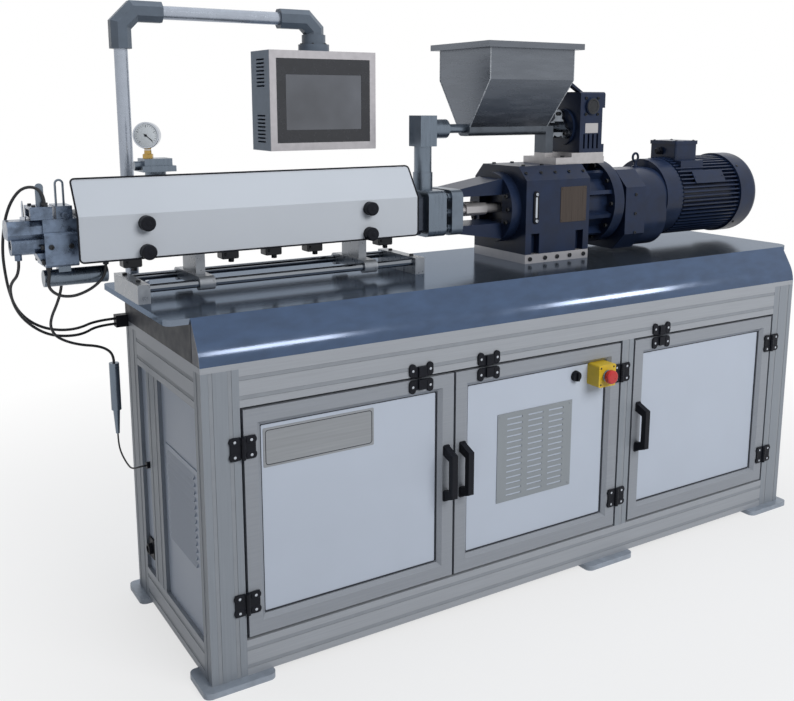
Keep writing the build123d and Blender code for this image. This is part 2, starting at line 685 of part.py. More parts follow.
def make_cables():
    cable("cable_a", CABLE_A, LEAD_RADIUS)
    cable("cable_b", CABLE_B, LEAD_RADIUS)
    cable("cable_c", CABLE_C, LEAD_RADIUS)
    cable("cable_d", CABLE_D, LEAD_RADIUS)
    cable("cable_tail", CABLE_TAIL, THIN_LEAD_RADIUS)
    x, y, top = CABLE_C[-1]
    boot_end = CABLE_TAIL[0][2]
    boot_top = boot_end + BOOT_LENGTH
    shell = rod_z(x, y, boot_top, top, CONNECTOR_RADIUS)
    boot = Pos(x, y, (boot_end + boot_top) / 2) * Cone(BOOT_END_RADIUS, BOOT_TOP_RADIUS, BOOT_LENGTH)
    save("cable_connector", shell + boot)


HINGE_HEIGHTS = (DOOR_BOTTOM + HINGE_FROM_END, DOOR_TOP - HINGE_FROM_END)
# name: left edge, right edge, hinge side (-1 left, +1 right)
DOORS = {
    "door_1": (BAY_LEFT + DOOR_GAP, DOOR_SPLIT - DOOR_GAP / 2, -1),
    "door_2": (DOOR_SPLIT + DOOR_GAP / 2, MIDDLE_POST_LEFT - DOOR_GAP, 1),
    "door_3": (MIDDLE_POST_RIGHT + DOOR_GAP, BAY_RIGHT - DOOR_GAP, 1),
}


def hinge_axis_x(x0, x1, side):
    return x0 - DOOR_GAP / 2 if side < 0 else x1 + DOOR_GAP / 2


def latch_x(x0, x1, side):
    return x1 - LATCH_FROM_EDGE if side < 0 else x0 + LATCH_FROM_EDGE


def make_doors():
    fixed_pieces = []
    relief_y = BACK - RELIEF_DEPTH
    fixed_pieces.append(block(LEFT - RELIEF_LENGTH, LEFT, relief_y, BACK,
                              DECK_TOP - RELIEF_BELOW_DECK, DECK_TOP + RELIEF_ABOVE_DECK))
    gland_x = LEFT + PANEL_RECESS
    gland_y, gland_z = CABLE_TAIL[-1][1:]
    fixed_pieces.append(rod_x(gland_x - GLAND_LENGTH, gland_x, gland_y, gland_z, GLAND_RADIUS))
    for name, (x0, x1, side) in DOORS.items():
        axis_x = hinge_axis_x(x0, x1, side)
        free_x = x1 - DOOR_STILE / 2 if side < 0 else x0 + DOOR_STILE / 2
        ring = block(x0, x1, FRONT, FRONT + DOOR_DEPTH, DOOR_BOTTOM, DOOR_TOP)
        back_window = (x0 + DOOR_STILE, x1 - DOOR_STILE, DOOR_BOTTOM + DOOR_STILE, DOOR_TOP - DOOR_STILE)
        wx0, wx1, wz0, wz1 = back_window
        ring -= block(wx0, wx1, FRONT, FRONT + DOOR_DEPTH, wz0, wz1)
        # Bevelled inner edge towards the panel.
        centre = ((wx0 + wx1) / 2, FRONT, (wz0 + wz1) / 2)
        front_plane = Plane(origin=centre, x_dir=(1, 0, 0), z_dir=(0, -1, 0))
        wide = wx1 - wx0
        tall = wz1 - wz0
        mouth = front_plane * Rectangle(wide + 2 * DOOR_BEVEL, tall + 2 * DOOR_BEVEL)
        throat = front_plane.offset(-DOOR_BEVEL) * Rectangle(wide, tall)
        ring -= loft([mouth, throat])
        save(f"{name}_frame", ring)

        panel_y = FRONT + DOOR_PANEL_SETBACK
        panel = block(wx0, wx1, panel_y, panel_y + DOOR_PANEL_THICK, wz0, wz1)
        fittings = [bridge_handle(free_x, HANDLE_MIDDLE)]
        fittings.append(latch_half(latch_x(x0, x1, side), DOOR_TOP, -1))
        for z in HINGE_HEIGHTS:
            fittings.append(hinge_leaf(axis_x, -side, z, False))
            fixed_pieces.append(hinge_leaf(axis_x, side, z, True))
        fixed_pieces.append(latch_half(latch_x(x0, x1, side), BAY_TOP, 1))
        if name == "door_2":
            lock_x = axis_x - LOCK_FROM_HINGE
            lock = rod_y(lock_x, panel_y - LOCK_DEPTH, panel_y, STOP_HEIGHT, LOCK_RADIUS)
            fittings.append(lock)
            make_vent_grille(x0, panel_y)
            make_stop_button(axis_x - STOP_FROM_HINGE, panel_y)
        save(f"{name}_panel", panel)
        save(f"{name}_fittings", *fittings)
    save("frame_fittings", *fixed_pieces)


def make_vent_grille(door_left, face_y):
    x0 = door_left + DOOR_VENT_FROM_LEFT
    plate_y = face_y - VENT_PLATE
    z0 = DOOR_VENT_BOTTOM
    grille = block(x0, x0 + DOOR_VENT_WIDTH, plate_y, face_y, z0, z0 + DOOR_VENT_HEIGHT)
    pitch_z = DOOR_VENT_HEIGHT / (DOOR_VENT_SLOTS + 1)
    pitch_x = DOOR_VENT_WIDTH / (DOOR_VENT_COLUMNS + 0.6)
    for column in range(DOOR_VENT_COLUMNS):
        middle_x = x0 + DOOR_VENT_WIDTH / 2 + (column - (DOOR_VENT_COLUMNS - 1) / 2) * pitch_x
        for row in range(DOOR_VENT_SLOTS):
            z = z0 + (row + 1) * pitch_z
            half = pitch_x * 0.36
            low = z - DOOR_VENT_SLOT / 2
            grille -= block(middle_x - half, middle_x + half, plate_y, face_y, low, low + DOOR_VENT_SLOT)
    save("vent_grille", grille)


def make_stop_button(x, face_y):
    half = STOP_BOX / 2
    front_y = face_y - STOP_BOX_DEPTH
    box = block(x - half, x + half, front_y, face_y, STOP_HEIGHT - half, STOP_HEIGHT + half)
    box = fillet(box.edges().filter_by(Axis.Y), STOP_BOX_ROUND)
    stem_bore = STOP_STEM_RADIUS + STOP_STEM_CLEARANCE
    stem_inside = STOP_TRAVEL + STOP_STEM_INSIDE
    box -= rod_y(x, front_y, front_y + stem_inside, STOP_HEIGHT, stem_bore)
    save("stop_box", box)
    head_back = front_y - STOP_TRAVEL - STOP_COLLAR
    head = rod_y(x, head_back - STOP_HEAD_DEPTH, head_back, STOP_HEIGHT, STOP_HEAD_RADIUS)
    head = fillet(head.edges().group_by(Axis.Y)[0], STOP_HEAD_DEPTH * 0.45)
    head += rod_y(x, head_back, front_y + stem_inside - STOP_TRAVEL - STOP_STEM_CLEARANCE,
                  STOP_HEIGHT, STOP_STEM_RADIUS)
    save("stop_button", head)


def make_gearbox():
    y0 = AXIS_Y - GEARBOX_DEPTH / 2
    y1 = AXIS_Y + GEARBOX_DEPTH / 2
    save("gearbox_base", block(GEARBOX_LEFT, GEARBOX_RIGHT, y0, y1, TABLE_TOP, GEARBOX_BOTTOM))
    housing = block(GEARBOX_LEFT, GEARBOX_RIGHT, y0, y1, GEARBOX_BOTTOM, GEARBOX_TOP)
    top_edges = housing.edges().filter_by(Axis.X).group_by(Axis.Z)[-1]
    housing = chamfer(top_edges, GEARBOX_CHAMFER)
    for x in (GEARBOX_LEFT + POCKET_INSET, GEARBOX_RIGHT - POCKET_INSET - POCKET_WIDTH):
        for ya, yb in ((y0, y0 + POCKET_DEPTH), (y1 - POCKET_DEPTH, y1)):
            housing -= block(x, x + POCKET_WIDTH, ya, yb, GEARBOX_BOTTOM, GEARBOX_BOTTOM + POCKET_HEIGHT)
    save("gearbox_housing", housing)


def make_lantern():
    half_width = LANTERN_WIDTH / 2
    half_height = LANTERN_HEIGHT / 2
    window = LANTERN_WINDOW / 2
    arm = LANTERN_ARM_DEPTH / 2
    flange_right = LANTERN_LEFT + LANTERN_FLANGE
    boss_left = GEARBOX_LEFT - LANTERN_BOSS_THICK
    lantern = block(LANTERN_LEFT, flange_right, AXIS_Y - half_width, AXIS_Y + half_width,
                    AXIS_Z - half_height, AXIS_Z + half_height)
    lantern = fillet(lantern.edges().filter_by(Axis.X), FLANGE_ROUND)
    boss = rod_x(boss_left, GEARBOX_LEFT, AXIS_Y, AXIS_Z, LANTERN_BOSS_RADIUS)
    reach = math.sqrt(LANTERN_BOSS_RADIUS ** 2 - arm ** 2)
    for sign in (1, -1):
        outline = [(flange_right, AXIS_Z + sign * window), (flange_right, AXIS_Z + sign * half_height),
                   (boss_left, AXIS_Z + sign * reach), (boss_left, AXIS_Z + sign * window)]
        lantern += prism_y(outline, AXIS_Y - arm, AXIS_Y + arm)
    lantern += boss
    opening = block(boss_left, GEARBOX_LEFT, AXIS_Y - arm, AXIS_Y + arm, AXIS_Z - window, AXIS_Z + window)
    lantern -= opening
    for sign in (1, -1):
        y = AXIS_Y + sign * SHAFT_SPACING / 2
        lantern -= rod_x(LANTERN_LEFT, flange_right, y, AXIS_Z, SHAFT_RADIUS + SHAFT_CLEARANCE)
    save("lantern", lantern)

    # Twin screw shafts with their flatted couplings.
    shaft_left = FEED_BLOCK_RIGHT + SHAFT_CLEARANCE
    shaft_right = GEARBOX_LEFT - SHAFT_CLEARANCE
    coupling_middle = (flange_right + boss_left) / 2
    for name, sign in (("screw_shaft_front", -1), ("screw_shaft_rear", 1)):
        y = AXIS_Y + sign * SHAFT_SPACING / 2
        shaft = rod_x(shaft_left, shaft_right, y, AXIS_Z, SHAFT_RADIUS)
        c0 = coupling_middle - COUPLING_LENGTH / 2
        c1 = coupling_middle + COUPLING_LENGTH / 2
        sleeve = rod_x(c0, c1, y, AXIS_Z, COUPLING_RADIUS)
        flat = COUPLING_FLAT
        sleeve &= block(c0, c1, y - flat, y + flat, AXIS_Z - COUPLING_RADIUS, AXIS_Z + COUPLING_RADIUS)
        save(name, shaft + sleeve)


def make_barrel():
    feed = block(FEED_BLOCK_LEFT, FEED_BLOCK_RIGHT, AXIS_Y - LANTERN_WIDTH / 2, AXIS_Y + LANTERN_WIDTH / 2,
                 AXIS_Z - LANTERN_HEIGHT / 2, AXIS_Z + LANTERN_HEIGHT / 2)
    feed = fillet(feed.edges().filter_by(Axis.X), FLANGE_ROUND)
    for sy in (-1, 1):
        for sz in (-1, 0, 1):
            y = AXIS_Y + sy * LANTERN_WIDTH * 0.38
            z = AXIS_Z + sz * LANTERN_HEIGHT * 0.34
            feed += rod_x(FEED_BLOCK_RIGHT, LANTERN_LEFT, y, z, STUD_RADIUS)
    save("barrel_clamp", feed)

    half = BARREL_SIZE / 2
    barrel = block(BARREL_LEFT, FEED_BLOCK_LEFT, AXIS_Y - half, AXIS_Y + half, AXIS_Z - half, AXIS_Z + half)
    jacket = JACKET_SIZE / 2
    pitch = BARREL_LENGTH / JACKET_COUNT
    for index in range(JACKET_COUNT):
        x0 = BARREL_LEFT + index * pitch + JACKET_GAP / 2
        x1 = x0 + pitch - JACKET_GAP
        shell = block(x0, x1, AXIS_Y - jacket, AXIS_Y + jacket, AXIS_Z - jacket, AXIS_Z + jacket)
        barrel += chamfer(shell.edges().filter_by(Axis.X), JACKET_CHAMFER)
    cover_back = COVER_FROM_AXIS - COVER_SHEET
    cover_middle = COVER_LEFT + COVER_LENGTH / 2
    save("barrel", barrel)

    # Front guard folded back at the top, rear guard flat; both with rounded corners.
    rise = COVER_TOP_RISE - COVER_FOLD_RISE
    slant = math.hypot(rise, COVER_TOP_SETBACK)
    fold_step = COVER_SHEET * math.tan(math.atan2(COVER_TOP_SETBACK, rise) / 2)
    top_distance = COVER_FROM_AXIS - COVER_TOP_SETBACK
    inner_top_distance = top_distance - COVER_SHEET * rise / slant
    inner_top_rise = COVER_TOP_RISE - COVER_SHEET * COVER_TOP_SETBACK / slant
    profile = [(COVER_FROM_AXIS, -COVER_BOTTOM_DROP), (COVER_FROM_AXIS, COVER_FOLD_RISE),
               (top_distance, COVER_TOP_RISE), (inner_top_distance, inner_top_rise),
               (cover_back, COVER_FOLD_RISE - fold_step), (cover_back, -COVER_BOTTOM_DROP)]
    cover_right = COVER_LEFT + COVER_LENGTH
    front = prism_x([(AXIS_Y - d, AXIS_Z + r) for d, r in profile], COVER_LEFT, cover_right)
    corners = [edge for edge in front.edges() if abs(edge.length - COVER_SHEET) < COVER_SHEET / 100]
    covers = [fillet(corners, COVER_CORNER)]
    rear = block(COVER_LEFT + REAR_COVER_INSET, cover_right, AXIS_Y + cover_back, AXIS_Y + COVER_FROM_AXIS,
                 AXIS_Z - COVER_BOTTOM_DROP, AXIS_Z + REAR_COVER_RISE)
    covers.append(fillet(rear.edges().filter_by(Axis.Y), COVER_CORNER))
    knobs = []
    for side in (-1, 1):
        for sx in (-1, 1):
            for rise in (KNOB_LOW, KNOB_HIGH):
                x = cover_middle + sx * KNOB_SPACING_X / 2
                z = AXIS_Z + rise
                face = AXIS_Y + side * COVER_FROM_AXIS
                ya, yb = sorted((face, face + side * KNOB_DEPTH))
                knob = rod_y(x, ya, yb, z, KNOB_RADIUS)
                front_edge = knob.edges().filter_by(GeomType.CIRCLE).sort_by(Axis.Y)[0 if side < 0 else -1]
                knobs.append(fillet(front_edge, KNOB_ROUND))
                yc, yd = sorted((AXIS_Y + side * jacket, AXIS_Y + side * cover_back))
                knobs.append(rod_y(x, yc, yd, z, STANDOFF_RADIUS))
    save("barrel_covers", *covers)
    save("cover_knobs", *knobs)


def make_die():
    x1 = BARREL_LEFT
    x0 = x1 - DIE_BLOCK_LENGTH
    half = DIE_BLOCK_WIDTH / 2
    ledge = DIE_LEDGE_WIDTH / 2
    block_top = AXIS_Z + DIE_BLOCK_RISE
    block_bottom = AXIS_Z - DIE_BLOCK_DROP
    ledge_top = AXIS_Z + DIE_LEDGE_RISE
    lower = block(x0, x1, AXIS_Y - half, AXIS_Y + half, block_bottom, block_top)
    die = chamfer(lower.edges().filter_by(Axis.X), DIE_EDGE)
    die += block(x0, x1, AXIS_Y - ledge, AXIS_Y + ledge, block_top, ledge_top)

    # Wedge under the nozzle, eight-sided nozzle block and round nozzle.
    skirt_top = AXIS_Z - DIE_SKIRT_DROP
    skirt = [(x0, block_bottom), (x0, skirt_top), (x0 - DIE_SKIRT_LENGTH, skirt_top)]
    die += prism_y(skirt, AXIS_Y - DIE_SKIRT_WIDTH / 2, AXIS_Y + DIE_SKIRT_WIDTH / 2)
    nose_top = AXIS_Z + NOZZLE_BLOCK_RISE
    nose_half = NOZZLE_BLOCK_WIDTH / 2
    nose = block(x0 - NOZZLE_BLOCK_LENGTH, x0, AXIS_Y - nose_half, AXIS_Y + nose_half,
                 nose_top - NOZZLE_BLOCK_HEIGHT, nose_top)
    die += chamfer(nose.edges().filter_by(Axis.X), NOZZLE_BLOCK_CHAMFER)
    nozzle_left = x0 - DIE_NOZZLE_LENGTH
    nozzle_z = AXIS_Z - DIE_NOZZLE_DROP
    die += rod_x(nozzle_left, x0, AXIS_Y, nozzle_z, DIE_NOZZLE_RADIUS)
    die -= rod_x(nozzle_left, nozzle_left + DIE_BORE_DEPTH, AXIS_Y, nozzle_z, DIE_BORE_RADIUS)
    boss_bottom = nozzle_z - DIE_NOZZLE_RADIUS - SENSOR_BOSS_LENGTH
    die += rod_z(nozzle_left + SENSOR_BOSS_INSET, AXIS_Y, boss_bottom, nozzle_z - DIE_NOZZLE_RADIUS / 2,
                 SENSOR_BOSS_RADIUS)

    # Slotted clamp on the left, plain clamp with its bolt on the right.
    clamp_half = CLAMP_WIDTH / 2
    clamp_top = ledge_top + CLAMP_HEIGHT
    clamp_left = x0 - CLAMP_OVERHANG
    slot_bottom = ledge_top + CLAMP_SLOT_RISE
    left_clamp = block(clamp_left, clamp_left + CLAMP_LEFT_LENGTH, AXIS_Y - clamp_half, AXIS_Y + clamp_half,
                       ledge_top, clamp_top)
    left_clamp -= block(clamp_left, clamp_left + CLAMP_SLOT_LENGTH, AXIS_Y - CLAMP_SLOT_WIDTH / 2,
                        AXIS_Y + CLAMP_SLOT_WIDTH / 2, slot_bottom, slot_bottom + CLAMP_SLOT_HEIGHT)
    clamp_right = x1 - CLAMP_RIGHT_INSET
    right_clamp = block(clamp_right - CLAMP_RIGHT_LENGTH, clamp_right, AXIS_Y - clamp_half,
                        AXIS_Y + clamp_half, ledge_top, clamp_top)
    bolt_y = AXIS_Y - clamp_half
    bolt_x = clamp_right - CLAMP_RIGHT_LENGTH / 2
    right_clamp += rod_y(bolt_x, bolt_y - CLAMP_BOLT_LENGTH, bolt_y, ledge_top + CLAMP_BOLT_RADIUS,
                         CLAMP_BOLT_RADIUS)
    save("die_body", die + left_clamp + right_clamp)

    heater_z = AXIS_Z - DIE_HEATER_DROP
    heater_right = x1 + DIE_HEATER_LENGTH / 2
    heater = rod_x(heater_right - DIE_HEATER_LENGTH, heater_right, AXIS_Y, heater_z, DIE_HEATER_RADIUS)
    bracket_right = x1 - HEATER_BRACKET_INSET
    heater += block(bracket_right - HEATER_BRACKET_LENGTH, bracket_right, AXIS_Y - HEATER_BRACKET_WIDTH / 2,
                    AXIS_Y + HEATER_BRACKET_WIDTH / 2, heater_z, block_bottom)
    save("die_heater", heater)


def make_port():
    x0 = BARREL_LEFT + PORT_FROM_DIE
    x1 = x0 + PORT_LENGTH
    top = AXIS_Z + PORT_TOP_RISE
    cap_bottom = top - PORT_CAP_HEIGHT
    plate_bottom = cap_bottom - PORT_PLATE
    jacket = AXIS_Z + JACKET_SIZE / 2
    half = PORT_WIDTH / 2
    cap_half = half - PORT_CAP_INSET
    port = block(x0, x1, AXIS_Y - half, AXIS_Y + half, plate_bottom, cap_bottom)
    port += block(x0 + PORT_CAP_INSET, x1 - PORT_CAP_INSET, AXIS_Y - cap_half, AXIS_Y + cap_half,
                  cap_bottom, top)
    port += rod_z((x0 + x1) / 2, AXIS_Y, jacket, plate_bottom, PORT_NECK / 2)
    port += rod_x(x0 - PORT_NIPPLE_LENGTH, x0 + PORT_CAP_INSET, AXIS_Y, cap_bottom, PORT_NIPPLE_RADIUS)
    save("vent_port", port)

    # Gauge on its stem, turned a little to the die end.
    gauge_x = x0 + GAUGE_FROM_PORT
    gauge_z = top + GAUGE_RISE
    stem = rod_z(gauge_x, AXIS_Y, top, gauge_z - GAUGE_RADIUS * 0.9, GAUGE_STEM_RADIUS)
    turned = Rot(0, 0, -GAUGE_TURN) * Rot(90, 0, 0)
    case = Pos(gauge_x, AXIS_Y, gauge_z) * turned * Cylinder(GAUGE_RADIUS, GAUGE_DEPTH)
    save("vacuum_gauge", case + stem)


def make_rods():
    rod_z_level = TABLE_TOP + ROD_HEIGHT
    left0 = LEFT - TABLE_OVERHANG
    left1 = left0 + ROD_BLOCK_LENGTH
    right0 = left1 + ROD_SPAN
    blocks = []
    for x0 in (left0, right0):
        blocks.append(block(x0, x0 + ROD_BLOCK_LENGTH, AXIS_Y - ROD_BLOCK_WIDTH / 2,
                            AXIS_Y + ROD_BLOCK_WIDTH / 2, TABLE_TOP, TABLE_TOP + ROD_BLOCK_HEIGHT))
    rod_ys = (AXIS_Y - ROD_SPACING / 2, AXIS_Y + ROD_SPACING / 2)
    save("guide_rods", *[rod_x(left1, right0, y, rod_z_level, ROD_RADIUS) for y in rod_ys])

    saddles = []
    jacket_bottom = AXIS_Z - JACKET_SIZE / 2
    for index in range(2):
        x = left1 + SADDLE_FIRST + index * SADDLE_PITCH
        x0 = x - SADDLE_LENGTH / 2
        x1 = x + SADDLE_LENGTH / 2
        saddle = block(x0, x1, rod_ys[0], rod_ys[1], rod_z_level - SADDLE_PLATE_DROP,
                       rod_z_level + BUSH_RADIUS)
        for y in rod_ys:
            saddle += rod_x(x0, x1, y, rod_z_level, BUSH_RADIUS)
        for y in rod_ys:
            saddle -= rod_x(x0, x1, y, rod_z_level, ROD_RADIUS + BUSH_CLEARANCE)
        saddle += block(x - SADDLE_WEB / 2, x + SADDLE_WEB / 2, AXIS_Y - BARREL_SIZE / 2,
                        AXIS_Y + BARREL_SIZE / 2, rod_z_level + BUSH_RADIUS, jacket_bottom)
        saddles.append(saddle)
    save("rod_supports", *blocks, *saddles)


def make_drive():
    bell_right = GEARBOX_RIGHT + BELL_LENGTH
    disc_right = bell_right + BELL_DISC_THICK
    bell = rod_x(GEARBOX_RIGHT, bell_right, AXIS_Y, AXIS_Z, BELL_RADIUS)
    rib_outer = BELL_DISC_RADIUS - BELL_RIB_INSET
    rib_inner = BELL_RADIUS - BELL_RIB_ROOT
    for index in range(BELL_RIBS):
        angle = 360 * index / BELL_RIBS
        rib = Box(BELL_LENGTH, BELL_RIB_THICK, rib_outer - rib_inner)
        radial = Pos(0, 0, (rib_outer + rib_inner) / 2) * rib
        bell += Pos((GEARBOX_RIGHT + bell_right) / 2, AXIS_Y, AXIS_Z) * Rot(angle, 0, 0) * radial
    bell += rod_x(bell_right, disc_right, AXIS_Y, AXIS_Z, BELL_DISC_RADIUS)
    save("bell_housing", bell)

    gear_z = AXIS_Z - GEAR_DROP
    neck_right = disc_right + GEAR_NECK
    case_right = neck_right + GEAR_CASE_LENGTH
    cover_right = case_right + GEAR_COVER_LENGTH
    gear = rod_x(disc_right, neck_right, AXIS_Y, AXIS_Z, GEAR_NECK_RADIUS)
    case = block(neck_right, case_right, AXIS_Y - GEAR_WIDTH / 2, AXIS_Y + GEAR_WIDTH / 2,
                 gear_z - GEAR_HEIGHT / 2, gear_z + GEAR_HEIGHT / 2)
    gear += chamfer(case.edges().filter_by(Axis.X), GEAR_CHAMFER)
    cover = block(case_right, cover_right, AXIS_Y - GEAR_WIDTH / 2, AXIS_Y + GEAR_WIDTH / 2,
                  gear_z - GEAR_HEIGHT / 2, gear_z + GEAR_HEIGHT / 2)
    gear += fillet(cover.edges().filter_by(Axis.X), GEAR_COVER_ROUND)
    save("gear_unit", gear)

    shield_right = cover_right + MOTOR_SHIELD_LENGTH
    body_right = shield_right + MOTOR_BODY_LENGTH
    motor = rod_x(cover_right, shield_right, AXIS_Y, AXIS_Z, MOTOR_SHIELD_RADIUS)
    section = Circle(MOTOR_CORE_RADIUS)
    fin = Pos(0, MOTOR_FIN_RADIUS / 2) * Rectangle(MOTOR_FIN_THICK, MOTOR_FIN_RADIUS)
    for index in range(MOTOR_FINS):
        section += Rot(0, 0, (index + 0.5) * 360 / MOTOR_FINS) * fin
    body_plane = Plane(origin=(shield_right, AXIS_Y, AXIS_Z), x_dir=(0, 1, 0), z_dir=(1, 0, 0))
    motor += extrude(body_plane * section, MOTOR_BODY_LENGTH)
    box_left = shield_right + TERMINAL_FROM_SHIELD
    box_right = box_left + TERMINAL_LENGTH
    box_top = AXIS_Z + TERMINAL_TOP_RISE
    lid_bottom = box_top - TERMINAL_LID
    half = TERMINAL_DEPTH / 2
    pad_top = AXIS_Z + SADDLE_PAD_TOP
    step = TERMINAL_LID_STEP
    motor += block(box_left, box_right, AXIS_Y - SADDLE_PAD_FRONT, AXIS_Y + SADDLE_PAD_BACK,
                   AXIS_Z + SADDLE_PAD_BOTTOM, pad_top)
    box = block(box_left + step, box_right - step, AXIS_Y - half + step, AXIS_Y + half - step,
                pad_top, lid_bottom)
    motor += fillet(box.edges().filter_by(Axis.Z), TERMINAL_ROUND)
    lid = block(box_left, box_right, AXIS_Y - half, AXIS_Y + half, lid_bottom, box_top)
    motor += fillet(lid.edges().filter_by(Axis.Z), TERMINAL_ROUND)
    save("motor", motor)

    cowl = rod_x(body_right, body_right + COWL_LENGTH, AXIS_Y, AXIS_Z, COWL_RADIUS)
    end_edge = cowl.edges().filter_by(GeomType.CIRCLE).sort_by(Axis.X)[-1]
    cowl = fillet(end_edge, COWL_ROUND)
    end_x = body_right + COWL_LENGTH
    for index in range(COWL_SLOTS):
        slot_middle = COWL_SLOT_FROM_AXIS + COWL_SLOT_LENGTH / 2
        slot = Pos(0, 0, slot_middle) * Box(2 * COWL_SLOT_DEPTH, COWL_SLOT_WIDTH, COWL_SLOT_LENGTH)
        cowl -= Pos(end_x, AXIS_Y, AXIS_Z) * Rot(360 * index / COWL_SLOTS, 0, 0) * slot
    save("fan_cowl", cowl)


def make_feeder():
    feed_x = FEED_BLOCK_LEFT + FEED_X_IN_BLOCK
    block_top = AXIS_Z + LANTERN_HEIGHT / 2
    sleeve_top = AXIS_Z + SLEEVE_TOP_RISE
    tee_bottom = AXIS_Z + TEE_BOTTOM_RISE
    tee_top = tee_bottom + TEE_HEIGHT
    tee_half = TEE_LENGTH / 2
    pipes = rod_z(feed_x, AXIS_Y, block_top, sleeve_top, SLEEVE_RADIUS)
    pipes += rod_z(feed_x, AXIS_Y, sleeve_top, tee_bottom, DROP_RADIUS)
    pipes += block(feed_x - tee_half, feed_x + tee_half, AXIS_Y - TEE_WIDTH / 2, AXIS_Y + TEE_WIDTH / 2,
                   tee_bottom, tee_top)
    nozzle_right = feed_x + tee_half + NOZZLE_LENGTH
    pipes += rod_x(feed_x + tee_half, nozzle_right, AXIS_Y, FEED_Z, NOZZLE_RADIUS)
    trough_left = nozzle_right + FEED_TUBE_LENGTH
    pipes += rod_x(nozzle_right, trough_left, AXIS_Y, FEED_Z, FEED_TUBE_RADIUS)
    save("feed_pipes", pipes)

    # Round-bottomed trough under the hopper, closed at both ends.
    trough_right = trough_left + TROUGH_LENGTH
    outer = TROUGH_WIDTH / 2
    trough_bottom = FEED_Z - TROUGH_DROP
    trough_top = FEED_Z + TROUGH_RISE

    def trough_form(wall):
        form = block(trough_left + wall, trough_right - wall, AXIS_Y - outer + wall, AXIS_Y + outer - wall,
                     trough_bottom + wall, trough_top)
        return fillet(form.edges().filter_by(Axis.X).group_by(Axis.Z)[0], TROUGH_ROUND - wall)

    save("feeder_trough", trough_form(0) - trough_form(TROUGH_WALL))

    # Hopper: square box over leaning walls, open at the top and into the trough.
    hopper_bottom = trough_top
    box_bottom = hopper_bottom + HOPPER_TAPER_HEIGHT
    box_top = box_bottom + HOPPER_BOX_HEIGHT
    half = HOPPER_WIDTH / 2
    x0 = trough_left
    x1 = x0 + HOPPER_LENGTH

    def hopper_form(offset, top):
        wall_half = half - offset
        throat_half = outer - offset * TROUGH_WALL / HOPPER_WALL
        lower = Pos((x0 + trough_right) / 2, AXIS_Y, hopper_bottom)
        upper = Pos((x0 + x1) / 2, AXIS_Y, box_bottom)
        lower_face = lower * Rectangle(trough_right - x0 - 2 * offset, 2 * throat_half)
        upper_face = upper * Rectangle(x1 - x0 - 2 * offset, 2 * wall_half)
        taper = loft([lower_face, upper_face])
        y0 = AXIS_Y - wall_half
        y1 = AXIS_Y + wall_half
        return taper + block(x0 + offset, x1 - offset, y0, y1, box_bottom, top)

    hopper = hopper_form(0, box_top)
    rim_half = half + HOPPER_RIM
    hopper += block(x0 - HOPPER_RIM, x1 + HOPPER_RIM, AXIS_Y - rim_half, AXIS_Y + rim_half,
                    box_top - HOPPER_RIM_HEIGHT, box_top)
    hopper -= hopper_form(HOPPER_WALL, box_top)
    save("hopper", hopper)

    # Plates on the gearbox with the pedestal that carries the trough's end.
    lower_top = GEARBOX_TOP + LOWER_PLATE
    upper_top = lower_top + UPPER_PLATE
    plate_left = GEARBOX_LEFT + PLATE_FROM_GEARBOX
    worm_left = GEARBOX_LEFT + WORM_FROM_GEARBOX
    worm_right = worm_left + WORM_LENGTH
    y0 = AXIS_Y - PLATE_WIDTH / 2
    y1 = AXIS_Y + PLATE_WIDTH / 2
    pedestal_right = trough_right + PEDESTAL_LENGTH
    plates = block(plate_left, plate_left + PLATE_LENGTH, y0, y1, GEARBOX_TOP, lower_top)
    plates += block(worm_left - UPPER_PLATE_STEP, worm_right, y0, y1, lower_top, upper_top)
    plates += block(trough_right, pedestal_right, AXIS_Y - PEDESTAL_WIDTH / 2, AXIS_Y + PEDESTAL_WIDTH / 2,
                    lower_top, hopper_bottom)
    save("feeder_plates", plates)

    # Worm unit: waisted case with cooling grooves, round cover in front, round boss at the shaft.
    worm_back = y0 + WORM_WIDTH
    worm_top = upper_top + WORM_HEIGHT
    worm = block(worm_left, worm_right, y0, worm_back, upper_top, worm_top)
    worm = fillet(worm.edges().filter_by(Axis.X).group_by(Axis.Z)[-1], WORM_ROUND)
    worm -= block(worm_right - WORM_WAIST, worm_right, y0, y0 + WORM_WAIST_DEPTH,
                  upper_top + WORM_WAIST_BOTTOM, upper_top + WORM_WAIST_TOP)
    groove_pitch = (WORM_LENGTH - WORM_WAIST) / (WORM_GROOVES + 1)
    for index in range(WORM_GROOVES):
        groove_left = worm_left + (index + 1) * groove_pitch - WORM_GROOVE_WIDTH / 2
        worm -= block(groove_left, groove_left + WORM_GROOVE_WIDTH, y0, y0 + WORM_GROOVE_DEPTH,
                      upper_top + WORM_GROOVE_BOTTOM, upper_top + WORM_GROOVE_TOP)
    input_z = FEED_Z + WORM_INPUT_RISE
    worm_x = (worm_left + worm_right - WORM_WAIST) / 2
    worm += rod_y(worm_x, y0 - WORM_COVER_DEPTH, y0, input_z, WORM_COVER_RADIUS)
    boss_left = worm_left - WORM_BOSS_DEPTH
    worm += rod_x(boss_left, worm_left, AXIS_Y, FEED_Z, WORM_BOSS_RADIUS)
    save("worm_unit", worm)

